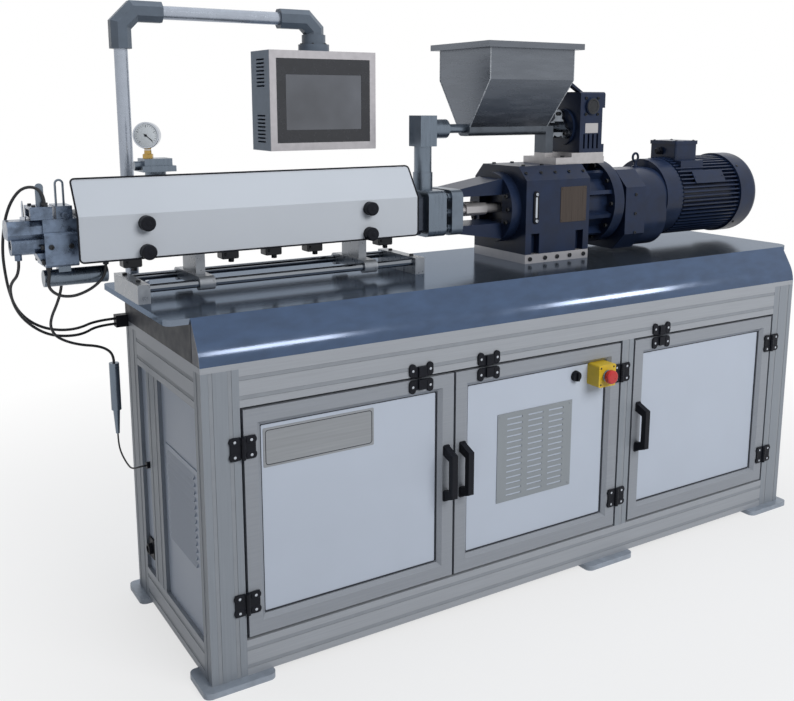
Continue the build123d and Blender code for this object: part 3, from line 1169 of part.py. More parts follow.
    # Three-lobed flange with its hub and shaft.
    disc_left = boss_left - COUPLING_DISC_THICK
    hub_left = disc_left - COUPLING_HUB_LENGTH
    flange = rod_x(disc_left, boss_left, AXIS_Y, FEED_Z, COUPLING_DISC_RADIUS)
    for index in range(3):
        angle = math.radians(90 + 120 * index)
        lobe_y = AXIS_Y + COUPLING_LOBE_FROM_AXIS * math.cos(angle)
        lobe_z = FEED_Z + COUPLING_LOBE_FROM_AXIS * math.sin(angle)
        flange += rod_x(disc_left, boss_left, lobe_y, lobe_z, COUPLING_LOBE_RADIUS)
    flange += rod_x(hub_left, disc_left, AXIS_Y, FEED_Z, COUPLING_HUB_RADIUS)
    flange += rod_x(pedestal_right, hub_left, AXIS_Y, FEED_Z, FEED_TUBE_RADIUS)
    save("feeder_coupling", flange)

    # Motor behind the worm unit, and the strut from the unit's top to the hopper.
    motor_face = worm_back + FEEDER_MOTOR_FLANGE
    motor_radius = FEEDER_MOTOR_RADIUS
    feeder_motor = rod_y(worm_x, worm_back, motor_face, input_z, motor_radius - FEEDER_MOTOR_STEP)
    feeder_motor += rod_y(worm_x, motor_face, motor_face + FEEDER_MOTOR_LENGTH, input_z, motor_radius)
    strut_top = box_top - HOPPER_RIM_HEIGHT - STRUT_BELOW_RIM
    strut_foot = worm_left + STRUT_ON_WORM
    strut = [(x1, strut_top), (x1, strut_top - STRUT_THICK), (strut_foot - STRUT_THICK, worm_top),
             (strut_foot, worm_top)]
    strut_bar = prism_y(strut, AXIS_Y - STRUT_WIDTH / 2, AXIS_Y + STRUT_WIDTH / 2)
    save("feeder_motor", feeder_motor, strut_bar)


def make_arm():
    post_x = LEFT + ARM_X_FROM_LEFT
    z = ARM_AXIS_HEIGHT
    post_top = z - ELBOW_DROP
    arm_left = post_x + ELBOW_LEG
    swivel_x = post_x + ARM_REACH
    arm_right = swivel_x - ELBOW_LEG
    post = rod_z(post_x, ARM_Y, TABLE_TOP + ARM_FOOT_THICK, post_top, TUBE_RADIUS)
    post += rod_z(post_x, ARM_Y, TABLE_TOP, TABLE_TOP + ARM_FOOT_THICK, ARM_FOOT_RADIUS)
    save("arm_tubes", post, rod_x(arm_left, arm_right, ARM_Y, z, TUBE_RADIUS))

    def elbow(x, end_x, leg_bottom, bend):
        """Eight-sided corner casting from a vertical end at x to a level end at end_x."""
        toward = math.copysign(bend, end_x - x)
        path = Polyline((x, ARM_Y, leg_bottom), (x, ARM_Y, z - bend), (x + toward, ARM_Y, z),
                        (end_x, ARM_Y, z))
        flat = ELBOW_HALF - ELBOW_CHAMFER
        corner = [(ELBOW_HALF, flat), (flat, ELBOW_HALF)]
        ring = corner + [(-a, b) for a, b in reversed(corner)]
        ring += [(-a, -b) for a, b in ring]
        section = Plane(origin=(x, ARM_Y, leg_bottom)) * Polygon(*ring, align=None)
        return sweep(section, path=path, transition=Transition.RIGHT)

    post_elbow = elbow(post_x, arm_left, post_top, ELBOW_BEND)
    save("arm_elbows", post_elbow, elbow(swivel_x, arm_right, SWIVEL_TOP, SWIVEL_BEND))

    case_top = PANEL_TOP
    half = PANEL_LENGTH / 2
    y0 = ARM_Y - PANEL_DEPTH / 2
    y1 = ARM_Y + PANEL_DEPTH / 2
    case = block(swivel_x - half, swivel_x + half, y0, y1, case_top - PANEL_HEIGHT, case_top)
    mid_z = case_top - PANEL_HEIGHT / 2
    bezel_half = BEZEL_LENGTH / 2
    case -= block(swivel_x - bezel_half, swivel_x + bezel_half, y0, y0 + BEZEL_DEPTH,
                  mid_z - BEZEL_HEIGHT / 2, mid_z + BEZEL_HEIGHT / 2)
    pitch = PANEL_HEIGHT * 0.3 / PANEL_SLOTS
    for side in (-1, 1):
        face = swivel_x + side * half
        for group in (0.28, -0.28):
            for index in range(PANEL_SLOTS):
                slot_z = mid_z + group * PANEL_HEIGHT + (index - (PANEL_SLOTS - 1) / 2) * pitch
                slot = Box(2 * PANEL_SLOT_DEPTH, PANEL_DEPTH * 0.42, pitch * 0.45)
                case -= Pos(face, ARM_Y, slot_z) * slot
    save("panel_case", case)
    screen = block(swivel_x - bezel_half, swivel_x + bezel_half, y0, y0 + BEZEL_DEPTH,
                   mid_z - BEZEL_HEIGHT / 2, mid_z + BEZEL_HEIGHT / 2)
    screen_z = mid_z - SCREEN_DROP
    screen -= block(swivel_x - SCREEN_LENGTH / 2, swivel_x + SCREEN_LENGTH / 2, y0, y0 + SCREEN_RECESS,
                    screen_z - SCREEN_HEIGHT / 2, screen_z + SCREEN_HEIGHT / 2)
    save("panel_screen", screen)
    flange_top = case_top + SWIVEL_FLANGE
    ring = rod_z(swivel_x, ARM_Y, case_top, flange_top, SWIVEL_RADIUS)
    ring += rod_z(swivel_x, ARM_Y, flange_top, SWIVEL_TOP - SWIVEL_CLEARANCE, SWIVEL_NECK_RADIUS)
    save("swivel_ring", ring)


os.makedirs("parts", exist_ok=True)
make_frame()
make_panels()
make_table()
make_doors()
make_gearbox()
make_lantern()
make_barrel()
make_die()
make_port()
make_rods()
make_drive()
make_feeder()
make_arm()
make_cables()
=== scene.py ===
import bpy
import bmesh
import math
from itertools import product
from mathutils import Matrix, Vector


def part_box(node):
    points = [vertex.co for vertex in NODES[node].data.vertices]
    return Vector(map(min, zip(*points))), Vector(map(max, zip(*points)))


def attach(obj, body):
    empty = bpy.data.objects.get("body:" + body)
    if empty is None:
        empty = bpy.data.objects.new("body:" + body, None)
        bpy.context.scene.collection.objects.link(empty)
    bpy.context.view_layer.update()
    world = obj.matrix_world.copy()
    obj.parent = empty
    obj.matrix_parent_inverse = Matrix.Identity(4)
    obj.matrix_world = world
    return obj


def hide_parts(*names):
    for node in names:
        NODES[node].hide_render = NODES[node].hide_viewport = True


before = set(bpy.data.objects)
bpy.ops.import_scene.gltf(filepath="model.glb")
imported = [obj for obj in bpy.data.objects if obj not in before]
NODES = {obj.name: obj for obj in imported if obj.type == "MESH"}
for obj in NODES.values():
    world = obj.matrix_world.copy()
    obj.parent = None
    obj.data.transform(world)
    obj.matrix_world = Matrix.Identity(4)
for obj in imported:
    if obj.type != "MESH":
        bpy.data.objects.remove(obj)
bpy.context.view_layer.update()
MM = 0.001
FRONT = (0, -1, 0)
BACK = (0, 1, 0)
LEFT = (-1, 0, 0)
RIGHT = (1, 0, 0)
UP = (0, 0, 1)
DOWN = (0, 0, -1)


def middle_of(node):
    low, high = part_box(node)
    return (low + high) / 2


SCREW_AXIS = middle_of("barrel")


# Finishes

WHITE = (1.0, 1.0, 1.0)
NOISE_LOW = 0.3
NOISE_HIGH = 0.7
LEAST_ROUGHNESS = 0.02
COAT_ROUGHNESS = 0.09
RELIEF_DEPTH = 0.6 * MM
SPLIT_GRAIN = 60.0
SPLIT_DRIFT = 0.15
SPLIT_SPEC = 0.25


def fill(tree, node, inputs):
    """Give a node's inputs their values, or links from the outputs of other nodes."""
    for socket, value in inputs.items():
        if isinstance(value, bpy.types.NodeSocket):
            tree.links.new(value, node.inputs[socket])
        else:
            node.inputs[socket].default_value = value


def add_node(tree, kind, inputs, output, operation=None):
    """New shader node with filled inputs; gives back one of its outputs."""
    node = tree.nodes.new(f"ShaderNode{kind}")
    if operation:
        node.operation = operation
    fill(tree, node, inputs)
    return node.outputs[output]


def new_material(name):
    mat = bpy.data.materials.new(name)
    mat.use_nodes = True
    return mat, mat.node_tree


def drifting_color(tree, noise, color, drift, reach):
    """Colour that runs from a darker to a lighter shade over a reach of the noise."""
    ramp = tree.nodes.new("ShaderNodeValToRGB")
    for stop, at, share in zip(ramp.color_ramp.elements, reach, (1 - drift, 1 + drift)):
        stop.position = at
        stop.color = [min(1.0, c * share) for c in color] + [1]
    fill(tree, ramp, {"Fac": noise})
    return ramp.outputs["Color"]


def drifting_roughness(tree, noise, rough, drift):
    """Roughness that runs from smoother to rougher over the same reach."""
    ends = {"To Min": max(LEAST_ROUGHNESS, rough - drift), "To Max": min(1.0, rough + drift)}
    reach = {"From Min": NOISE_LOW, "From Max": NOISE_HIGH}
    return add_node(tree, "MapRange", {"Value": noise, **reach, **ends}, "Result")


def fine_relief(tree, coords, strength, fineness):
    fine = add_node(tree, "TexNoise", {"Vector": coords, "Scale": fineness, "Detail": 2.0}, "Fac")
    return add_node(tree, "Bump", {"Strength": strength, "Distance": RELIEF_DEPTH, "Height": fine}, "Normal")


def material(name, color, rough, metal, grain, drift, relief=None, coat=0.0, spec=0.4, edge=WHITE):
    """Finish whose colour and roughness drift with a noise.

    grain is the noise's fineness, one number or one for each axis, and drift the shares by which
    colour and roughness vary. relief is the strength and fineness of a bumpy skin, and edge tints
    what the surface mirrors at a glancing angle.
    """
    mat, tree = new_material(name)
    shader = tree.nodes["Principled BSDF"]
    coords = add_node(tree, "TexCoord", {}, "Object")
    scale = grain if isinstance(grain, tuple) else (grain, grain, grain)
    stretched = add_node(tree, "Mapping", {"Vector": coords, "Scale": scale}, "Vector")
    noise = add_node(tree, "TexNoise", {"Vector": stretched, "Scale": 1.0, "Detail": 3.0}, "Fac")
    fill(tree, shader, {
        "Base Color": drifting_color(tree, noise, color, drift[0], (NOISE_LOW, NOISE_HIGH)),
        "Roughness": drifting_roughness(tree, noise, rough, drift[1]),
        "Metallic": metal,
        "Specular IOR Level": spec,
        "Specular Tint": (*edge, 1),
        "Coat Weight": coat,
        "Coat Roughness": COAT_ROUGHNESS,
    })
    if relief:
        fill(tree, shader, {"Normal": fine_relief(tree, coords, *relief)})
    return mat


def split_finish(name, axis, at, below, above):
    """One finish below a plane square to an axis and another above it."""
    mat, tree = new_material(name)
    tree.nodes.clear()
    coords = add_node(tree, "TexCoord", {}, "Object")
    along = add_node(tree, "SeparateXYZ", {"Vector": coords}, axis)
    beyond = add_node(tree, "Math", {0: along, 1: at}, "Value", "GREATER_THAN")
    noise = add_node(tree, "TexNoise", {"Vector": coords, "Scale": SPLIT_GRAIN}, "Fac")
    sides = []
    for color, rough, metal in (below, above):
        shade = drifting_color(tree, noise, color, SPLIT_DRIFT, (0.0, 1.0))
        look = {"Base Color": shade, "Roughness": rough, "Metallic": metal, "Specular IOR Level": SPLIT_SPEC}
        sides.append(add_node(tree, "BsdfPrincipled", look, "BSDF"))
    mixed = add_node(tree, "MixShader", {"Fac": beyond, 1: sides[0], 2: sides[1]}, "Shader")
    fill(tree, tree.nodes.new("ShaderNodeOutputMaterial"), {"Surface": mixed})
    return mat


NAVY = (0.010, 0.018, 0.044)
STEEL = (0.16, 0.195, 0.24)
SILVER = (0.50, 0.485, 0.51)
CASE_GREY = (0.16, 0.21, 0.28)
GROUND = (0.43, 0.42, 0.43)
# Painted shade: stainless steel made near black for the shaded front of the feeder trough and the shaded web
# of the feeder plates.
PAINTED_SHADE_STEEL = (0.085, 0.098, 0.118)
LANTERN_FLANGE_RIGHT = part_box("lantern")[0].x + 38 * MM
CASE_FRONT_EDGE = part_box("panel_case")[0].y + 3 * MM
FEEDER_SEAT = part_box("worm_unit")[0].z
ALONG_X = (6, 220, 220)
ALONG_Z = (220, 220, 6)
SHEET_SKIN = (0.05, 900)
M = {
    "anodised": material("anodised_profile", (0.27, 0.29, 0.325), 0.45, 0.25, ALONG_X, (0.05, 0.07)),
    "rail": material("anodised_rail", (0.33, 0.35, 0.385), 0.45, 0.2, ALONG_X, (0.05, 0.07)),
    "upright": material("anodised_upright", (0.24, 0.265, 0.30), 0.45, 0.12, ALONG_Z, (0.05, 0.07)),
    "white": material("white_sheet", (0.46, 0.51, 0.60), 0.42, 0.0, 5, (0.02, 0.05), SHEET_SKIN),
    "foot": material("foot_steel", (0.30, 0.34, 0.40), 0.45, 0.3, 40, (0.12, 0.1)),
    "mirror": material("polished_table", (0.18, 0.215, 0.27), 0.15, 0.85, (3, 260, 3), (0.08, 0.04),
                       edge=(0.42, 0.47, 0.54)),
    # Painted reflection: the cover is polished steel; its dark blue colour and soft mottling stand in for
    # the blue surroundings it mirrors.
    "navy_sheet": material("navy_sheet", (0.036, 0.070, 0.142), 0.13, 0.25, (16, 40, 40), (0.12, 0.03),
                           spec=0.6),
    "grille": material("grey_louvre_sheet", (0.25, 0.275, 0.30), 0.42, 0.2, 8, (0.03, 0.05), SHEET_SKIN),
    "strip": material("slot_strip", (0.25, 0.27, 0.30), 0.5, 0.0, 30, (0.05, 0.05)),
    "brushed": material("brushed_plate", (0.28, 0.295, 0.315), 0.36, 0.4, (4, 40, 160), (0.08, 0.08)),
    # Near black sheet. On the table's side sheets it is painted shade, for the shade under the table's
    # overhang; on the door beads it is a painted shadow line; on the sign border it is a printed line.
    "dark_sheet": material("dark_sheet", (0.028, 0.031, 0.040), 0.5, 0.0, 30, (0.12, 0.08), spec=0.2),
    "navy": material("navy_paint", NAVY, 0.36, 0.0, 24, (0.18, 0.08), (0.18, 260), coat=0.06, spec=0.22),
    "lantern": split_finish("lantern_two_finish", "X", LANTERN_FLANGE_RIGHT, (STEEL, 0.34, 0.75),
                            (NAVY, 0.36, 0.0)),
    "steel": material("turned_steel", STEEL, 0.32, 0.85, (160, 20, 20), (0.1, 0.08)),
    "ground": material("ground_steel", GROUND, 0.34, 0.6, (6, 40, 40), (0.05, 0.06)),
    # Painted shade: the feeder plates are one ground steel, made dark above the worm unit's seat for the
    # coupling's shade on the upright web.
    "feeder_shade_split": split_finish("feeder_plates_painted_shade", "Z", FEEDER_SEAT, (GROUND, 0.34, 0.6),
                                (PAINTED_SHADE_STEEL, 0.34, 0.7)),
    # Painted shade: the trough's stainless steel is made this dark for the shade on its front.
    "trough_painted_shade": material("trough_steel_painted_shade", PAINTED_SHADE_STEEL, 0.32, 0.7, 40, (0.15, 0.08)),
    "flange": material("turned_flange", (0.21, 0.23, 0.26), 0.2, 1.0, 40, (0.2, 0.08),
                       edge=(0.5, 0.53, 0.57)),
    "weld": material("polished_weld", (0.36, 0.385, 0.42), 0.3, 0.6, (30, 30, 240), (0.2, 0.1)),
    "rod": material("hardened_rod", (0.24, 0.26, 0.29), 0.11, 1.0, (3, 60, 60), (0.10, 0.04),
                    edge=(0.45, 0.48, 0.53)),
    "block": material("sawn_block", (0.29, 0.31, 0.34), 0.32, 0.6, 60, (0.14, 0.08)),
    # Steel that drifts strongly in tone: the wide colour drift is partly the steel's own tone and partly
    # painted highlights and dark reflections.
    "die_steel": material("die_steel_with_painted_reflections", (0.135, 0.175, 0.245), 0.28, 0.8, 45, (0.42, 0.12),
                          (0.2, 500)),
    "barrel": material("heater_band_steel", (0.05, 0.06, 0.08), 0.42, 0.7, (90, 30, 90), (0.2, 0.1)),
    "pale": material("pale_sheet", (0.50, 0.535, 0.59), 0.40, 0.0, 4, (0.02, 0.05), (0.04, 900)),
    "black": material("black_plastic", (0.007, 0.008, 0.012), 0.45, 0.0, 120, (0.2, 0.06), (0.25, 1500),
                      spec=0.15),
    "stainless": material("stainless_sheet", (0.15, 0.165, 0.19), 0.27, 0.9, (9, 9, 70), (0.10, 0.06)),
    "bright": material("bright_metal", (0.45, 0.48, 0.53), 0.16, 1.0, 60, (0.05, 0.05)),
    "tube": material("tube_stainless", (0.39, 0.43, 0.50), 0.26, 0.65, 30, (0.06, 0.06)),
    "elbow": material("arm_casting", (0.10, 0.125, 0.16), 0.42, 0.1, 40, (0.08, 0.06), (0.2, 600)),
    "case": split_finish("panel_case_two_finish", "Y", CASE_FRONT_EDGE, (SILVER, 0.32, 0.4),
                         (CASE_GREY, 0.42, 0.1)),
    "bezel": material("screen_bezel", (0.030, 0.032, 0.038), 0.26, 0.0, 50, (0.1, 0.04)),
    "glass": material("display_glass", (0.10, 0.108, 0.128), 0.14, 0.0, 6, (0.25, 0.03), coat=0.4),
    "yellow": material("yellow_plastic", (0.60, 0.42, 0.03), 0.36, 0.0, 60, (0.05, 0.06), (0.08, 900)),
    "red": material("red_plastic", (0.45, 0.020, 0.020), 0.30, 0.0, 60, (0.08, 0.05), coat=0.2),
    "jacket": material("cable_jacket", (0.020, 0.021, 0.024), 0.48, 0.0, 200, (0.2, 0.08), (0.1, 1200)),
    "brass": material("brass", (0.42, 0.28, 0.09), 0.28, 1.0, 90, (0.1, 0.08)),
    "dial": material("dial_face", (0.62, 0.66, 0.70), 0.35, 0.0, 40, (0.02, 0.04)),
    "bronze": material("bare_bronze_plate", (0.060, 0.048, 0.042), 0.36, 0.6, (240, 8, 8), (0.18, 0.1)),
    "dark_screw": material("black_screw", (0.030, 0.032, 0.036), 0.36, 0.6, 90, (0.15, 0.08)),
}

NODE_FINISHES = {
    "upright": ["frame_posts"],
    "rail": ["frame_rails", "deck_plate"],
    "anodised": ["door_1_frame", "door_2_frame", "door_3_frame"],
    "white": ["side_panels", "door_1_panel", "door_2_panel", "door_3_panel"],
    "foot": ["foot_plates"],
    "mirror": ["table_plate"],
    # painted reflection of blue surroundings on the front cover
    "navy_sheet": ["front_cover"],
    "grille": ["vent_grille"],
    # painted shade: the table's side sheets are made near black for the shade they stand in
    "dark_sheet": ["table_sides"],
    "black": ["frame_fittings", "cover_knobs", "door_1_fittings", "door_2_fittings", "door_3_fittings"],
    "rod": ["guide_rods"],
    "block": ["rod_supports"],
    "barrel": ["barrel"],
    "steel": ["barrel_clamp", "die_heater", "vent_port", "feed_pipes", "cable_connector"],
    "pale": ["barrel_covers"],
    "die_steel": ["die_body"],
    "bright": ["vacuum_gauge"],
    "flange": ["feeder_coupling"],
    "lantern": ["lantern"],
    "navy": ["gearbox_housing", "bell_housing", "gear_unit", "motor", "fan_cowl", "worm_unit",
             "feeder_motor"],
    "ground": ["gearbox_base", "screw_shaft_front", "screw_shaft_rear"],
    # painted shade on the feeder plates above the seat
    "feeder_shade_split": ["feeder_plates"],
    "stainless": ["hopper"],
    "trough_painted_shade": ["feeder_trough"],
    "tube": ["arm_tubes"],
    "elbow": ["arm_elbows", "swivel_ring"],
    "case": ["panel_case"],
    "bezel": ["panel_screen"],
    "yellow": ["stop_box"],
    "red": ["stop_button"],
    "jacket": ["cable_a", "cable_b", "cable_c", "cable_d", "cable_tail"],
}


def dress_nodes():
    """Give every CAD node its finish."""
    for finish, names in NODE_FINISHES.items():
        for name in names:
            node = NODES[name]
            if not node.material_slots:
                node.data.materials.append(M[finish])
            for held in node.material_slots:
                held.material = M[finish]


# Mesh helpers. Turned profiles and screw sizes are in millimetres, all else in metres.

SHARP_ANGLE = math.radians(32)
DIAGONALS = (45, 135, 225, 315)
CAP_HEAD = [(1, 0), (1, 0.8), (0.88, 1), (0.55, 1), (0.5, 0.45)]
PAN_HEAD = [(1, 0), (0.97, 0.35), (0.8, 0.7), (0.45, 0.95), (0.15, 1)]
NUT = [(1, 0), (1, 0.85), (0.9, 1), (0.5, 1), (0.48, 0.6)]


def facing(point, normal, up=UP):
    """Place whose local Z points along normal and whose local Y follows up."""
    z = Vector(normal).normalized()
    x = Vector(up).cross(z)
    if x.length < 1e-6:
        x = Vector(RIGHT)
    x.normalize()
    y = z.cross(x)
    turn = Matrix((x, y, z)).transposed().to_4x4()
    return Matrix.Translation(Vector(point)) @ turn


def spokes(degrees):
    """Cosine and sine of each angle."""
    return [(math.cos(math.radians(angle)), math.sin(math.radians(angle))) for angle in degrees]


def scaled(profile, radius, height):
    return [(radius * r, height * h) for r, h in profile]


def skin(bm, place, rings):
    """Closed skin over rings of equally many local points."""
    loops = [[bm.verts.new(place @ Vector(point)) for point in ring] for ring in rings]
    count = len(loops[0])
    for low, high in zip(loops, loops[1:]):
        for index in range(count):
            after = (index + 1) % count
            bm.faces.new((low[index], low[after], high[after], high[index]))
    bm.faces.new(list(reversed(loops[0])))
    bm.faces.new(loops[-1])


def turned(bm, place, profile, segments=24):
    """Turned form from (radius, height) pairs, all with a radius above zero."""
    around = spokes(360 * index / segments for index in range(segments))
    skin(bm, place, [[(r * MM * c, r * MM * s, h * MM) for c, s in around] for r, h in profile])


def rounded(wide, tall, corner, steps=5):
    """Outline of a rectangle with round corners, about its middle."""
    points = []
    for sx, sy, start in ((1, 1, 0), (-1, 1, 90), (-1, -1, 180), (1, -1, 270)):
        for c, s in spokes(start + 90 * step / steps for step in range(steps + 1)):
            points.append((sx * (wide / 2 - corner) + corner * c, sy * (tall / 2 - corner) + corner * s))
    return points


def plate(bm, place, wide, tall, thick, corner, edge):
    """Plate with round corners and a broken front edge."""
    outline = rounded(wide, tall, corner)
    inset = rounded(wide - 2 * edge, tall - 2 * edge, corner - edge / 2)
    levels = ((outline, 0), (outline, thick - edge), (inset, thick))
    skin(bm, place, [[(x, y, height) for x, y in ring] for ring, height in levels])


def bead(bm, points, radius, closed=False, segments=8):
    """Round bead along points, with its frame carried from point to point."""
    path = [Vector(point) for point in points]
    around = spokes(360 * step / segments for step in range(segments))
    count = len(path)
    normal = None
    rings = []
    for index, point in enumerate(path):
        before = path[index - 1] if closed or index else point
        after = path[(index + 1) % count] if closed or index < count - 1 else point
        along = (after - before).normalized()
        if normal is None:
            normal = along.orthogonal()
        normal = (normal - along * normal.dot(along)).normalized()
        side = along.cross(normal)
        rings.append([bm.verts.new(point + radius * (c * normal + s * side)) for c, s in around])
    pairs = list(zip(rings, rings[1:]))
    if closed:
        pairs.append((rings[-1], rings[0]))
    for low, high in pairs:
        for step in range(segments):
            after = (step + 1) % segments
            bm.faces.new((low[step], low[after], high[after], high[step]))
    if not closed:
        bm.faces.new(list(reversed(rings[0])))
        bm.faces.new(rings[-1])


def cap_screw(bm, at, way, radius, height):
    """Socket screw: broken rim and a recess in its head."""
    turned(bm, facing(at, way), scaled(CAP_HEAD, radius, height), 18)


def pan_screw(bm, at, way, radius, height, up=UP):
    """Domed screw head."""
    turned(bm, facing(at, way, up), scaled(PAN_HEAD, radius, height), 16)


def hex_nut(bm, at, way, radius, height):
    turned(bm, facing(at, way), scaled(NUT, radius, height), 6)


def put_in_scene(name, data):
    obj = bpy.data.objects.new(name, data)
    bpy.context.scene.collection.objects.link(obj)
    return obj


def piece(name, build, body, finish):
    """Object from a function that fills a bmesh; it rides on a CAD body."""
    bm = bmesh.new()
    build(bm)
    bmesh.ops.recalc_face_normals(bm, faces=bm.faces)
    mesh = bpy.data.meshes.new(name)
    bm.to_mesh(mesh)
    bm.free()
    for face in mesh.polygons:
        face.use_smooth = True
    mesh.set_sharp_from_angle(angle=SHARP_ANGLE)
    mesh.materials.append(M[finish])
    obj = put_in_scene(name, mesh)
    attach(obj, body)
    return obj


# Leads: node, length and diameter in metres, and a route in millimetres as in the part's source.

LEADS = {
    "lead_a": ("cable_a", 0.7182, 0.007, [
        (-236, 322, 1121), (-236, 322, 1147), (-252, 334, 1166), (-277, 352, 1163), (-296, 372, 1137),
        (-308, 395, 1100), (-316, 405, 1055), (-319, 414, 1007), (-315, 426, 960), (-307, 441, 912),
        (-292, 459, 866), (-263, 478, 828), (-223, 497, 800), (-177, 514, 785), (-130, 533, 781),
        (-82, 558, 790), (-32, 558, 790)]),
    "lead_b": ("cable_b", 0.4988, 0.007, [
        (-296, 348, 998), (-296, 348, 968), (-313, 381, 939), (-308, 412, 904), (-295, 441, 868),
        (-274, 466, 834), (-244, 486, 803), (-208, 504, 779), (-164, 519, 767), (-120, 536, 764),
        (-79, 558, 776), (-32, 558, 776)]),
    "lead_c": ("cable_c", 0.4351, 0.007, [
        (-195, 382, 983), (-195, 382, 950), (-198, 394, 910), (-206, 412, 874), (-215, 437, 841),
        (-215, 463, 809), (-199, 486, 778), (-167, 502, 756), (-130, 512, 741), (-94, 517, 733),
        (-66, 521, 720), (-50, 522, 700), (-50, 522, 680)]),
    "lead_d": ("cable_d", 0.2336, 0.007, [
        (-236, 320, 983), (-236, 320, 960), (-242, 318, 936), (-222, 318, 914), (-190, 317, 908),
        (-159, 316, 916), (-130, 316, 932), (-108, 316, 957), (-108, 316, 987)]),
    "lead_tail": ("cable_tail", 0.1717, 0.0045, [
        (-50, 522, 486), (-50, 522, 462), (-47, 518, 436), (-41, 506, 416), (-37, 486, 405),
        (-35, 465, 403), (-31, 446, 408), (-21, 432, 415), (-4, 432, 415)]),
}
GLANDS = (("lead_a", 0, UP), ("lead_c", 0, DOWN), ("lead_d", 0, DOWN), ("lead_d", -1, DOWN))


def lead(name, node, length, diameter, route):
    """Round cable along its route, in place of its CAD node."""
    data = bpy.data.curves.new(name, "CURVE")
    data.dimensions = "3D"
    spline = data.splines.new("NURBS")
    spline.points.add(len(route) - 1)
    for point, place in zip(spline.points, route):
        point.co = [c * MM for c in place] + [1]
    spline.order_u = 3
    spline.use_endpoint_u = True
    data.bevel_depth = diameter / 2
    data.bevel_resolution = 4
    data.resolution_u = 8
    data.use_fill_caps = True
    data.materials.append(M["jacket"])
    obj = put_in_scene(name, data)
    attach(obj, "machine")
    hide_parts(node)


def lead_glands():
    """Hex glands where the leads enter the die and the first heater."""

    def build(bm):
        for name, end, way in GLANDS:
            hex_nut(bm, [c * MM for c in LEADS[name][-1][end]], way, 7, 9)

    piece("lead_glands", build, "machine", "dark_screw")


# Barrel, guard and die

GUARD_UPRIGHT = 104 * MM
GUARD_BACK = 54 * MM
GUARD_CORNER = 10 * MM
TRIM_RADIUS = 2.2 * MM
KNOB_RADIUS = 18 * MM
LOBES = 10
LOBE_RADIUS = 4
LOBE_CIRCLE = 14 * MM
DIE_BLOCK_LONG = 74 * MM
DIE_TOP_PARTS_Y = SCREW_AXIS.y - 14 * MM
TERMINAL_PLACES = (-40, 210, 330, 450, 670)
TERMINAL_WIDE = 46 * MM
TERMINAL_TALL = 26 * MM
TERMINAL_DEEP = 34 * MM


def guard_trim():
    """Black edging round the front guard, which stands upright and then folds back."""
    low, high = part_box("barrel_covers")
    rise = high.z - low.z - GUARD_UPRIGHT
    slant = math.hypot(GUARD_BACK, rise)
    tall = GUARD_UPRIGHT + slant
    middle = (low.x + high.x) / 2

    def on_guard(x, s):
        past = max(0.0, s - GUARD_UPRIGHT) / slant
        return (x, low.y - 0.4 * MM + past * GUARD_BACK, low.z + min(s, GUARD_UPRIGHT) + past * rise)

    def build(bm):
        flat = [(middle + x, tall / 2 + s) for x, s in rounded(high.x - low.x, tall, GUARD_CORNER)]
        folded = []
        for before, after in zip(flat, flat[1:] + flat[:1]):
            folded.append(on_guard(*before))
            if (before[1] - GUARD_UPRIGHT) * (after[1] - GUARD_UPRIGHT) < 0:
                folded.append(on_guard(before[0], GUARD_UPRIGHT))
        bead(bm, folded, TRIM_RADIUS, closed=True)

    piece("guard_trim", build, "machine", "black")


def knob_lobes():
    """Grip lobes round each guard knob, and a cap in its middle."""
    low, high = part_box("cover_knobs")
    faces = ((low.y, 1), (high.y, -1))
    lobe = [(3, 0), (LOBE_RADIUS, 1.5), (LOBE_RADIUS, 17)]

    def build(bm):
        for (y, way), x, z in product(faces, (low.x + KNOB_RADIUS, high.x - KNOB_RADIUS),
                                      (low.z + KNOB_RADIUS, high.z - KNOB_RADIUS)):
            for c, s in spokes(range(0, 360, 360 // LOBES)):
                at = (x + LOBE_CIRCLE * c, y + way * 3 * MM, z + LOBE_CIRCLE * s)
                turned(bm, facing(at, (0, way, 0)), lobe, 12)
            pan_screw(bm, (x, y, z), (0, -way, 0), 6, 1.2)

    piece("knob_lobes", build, "machine", "black")


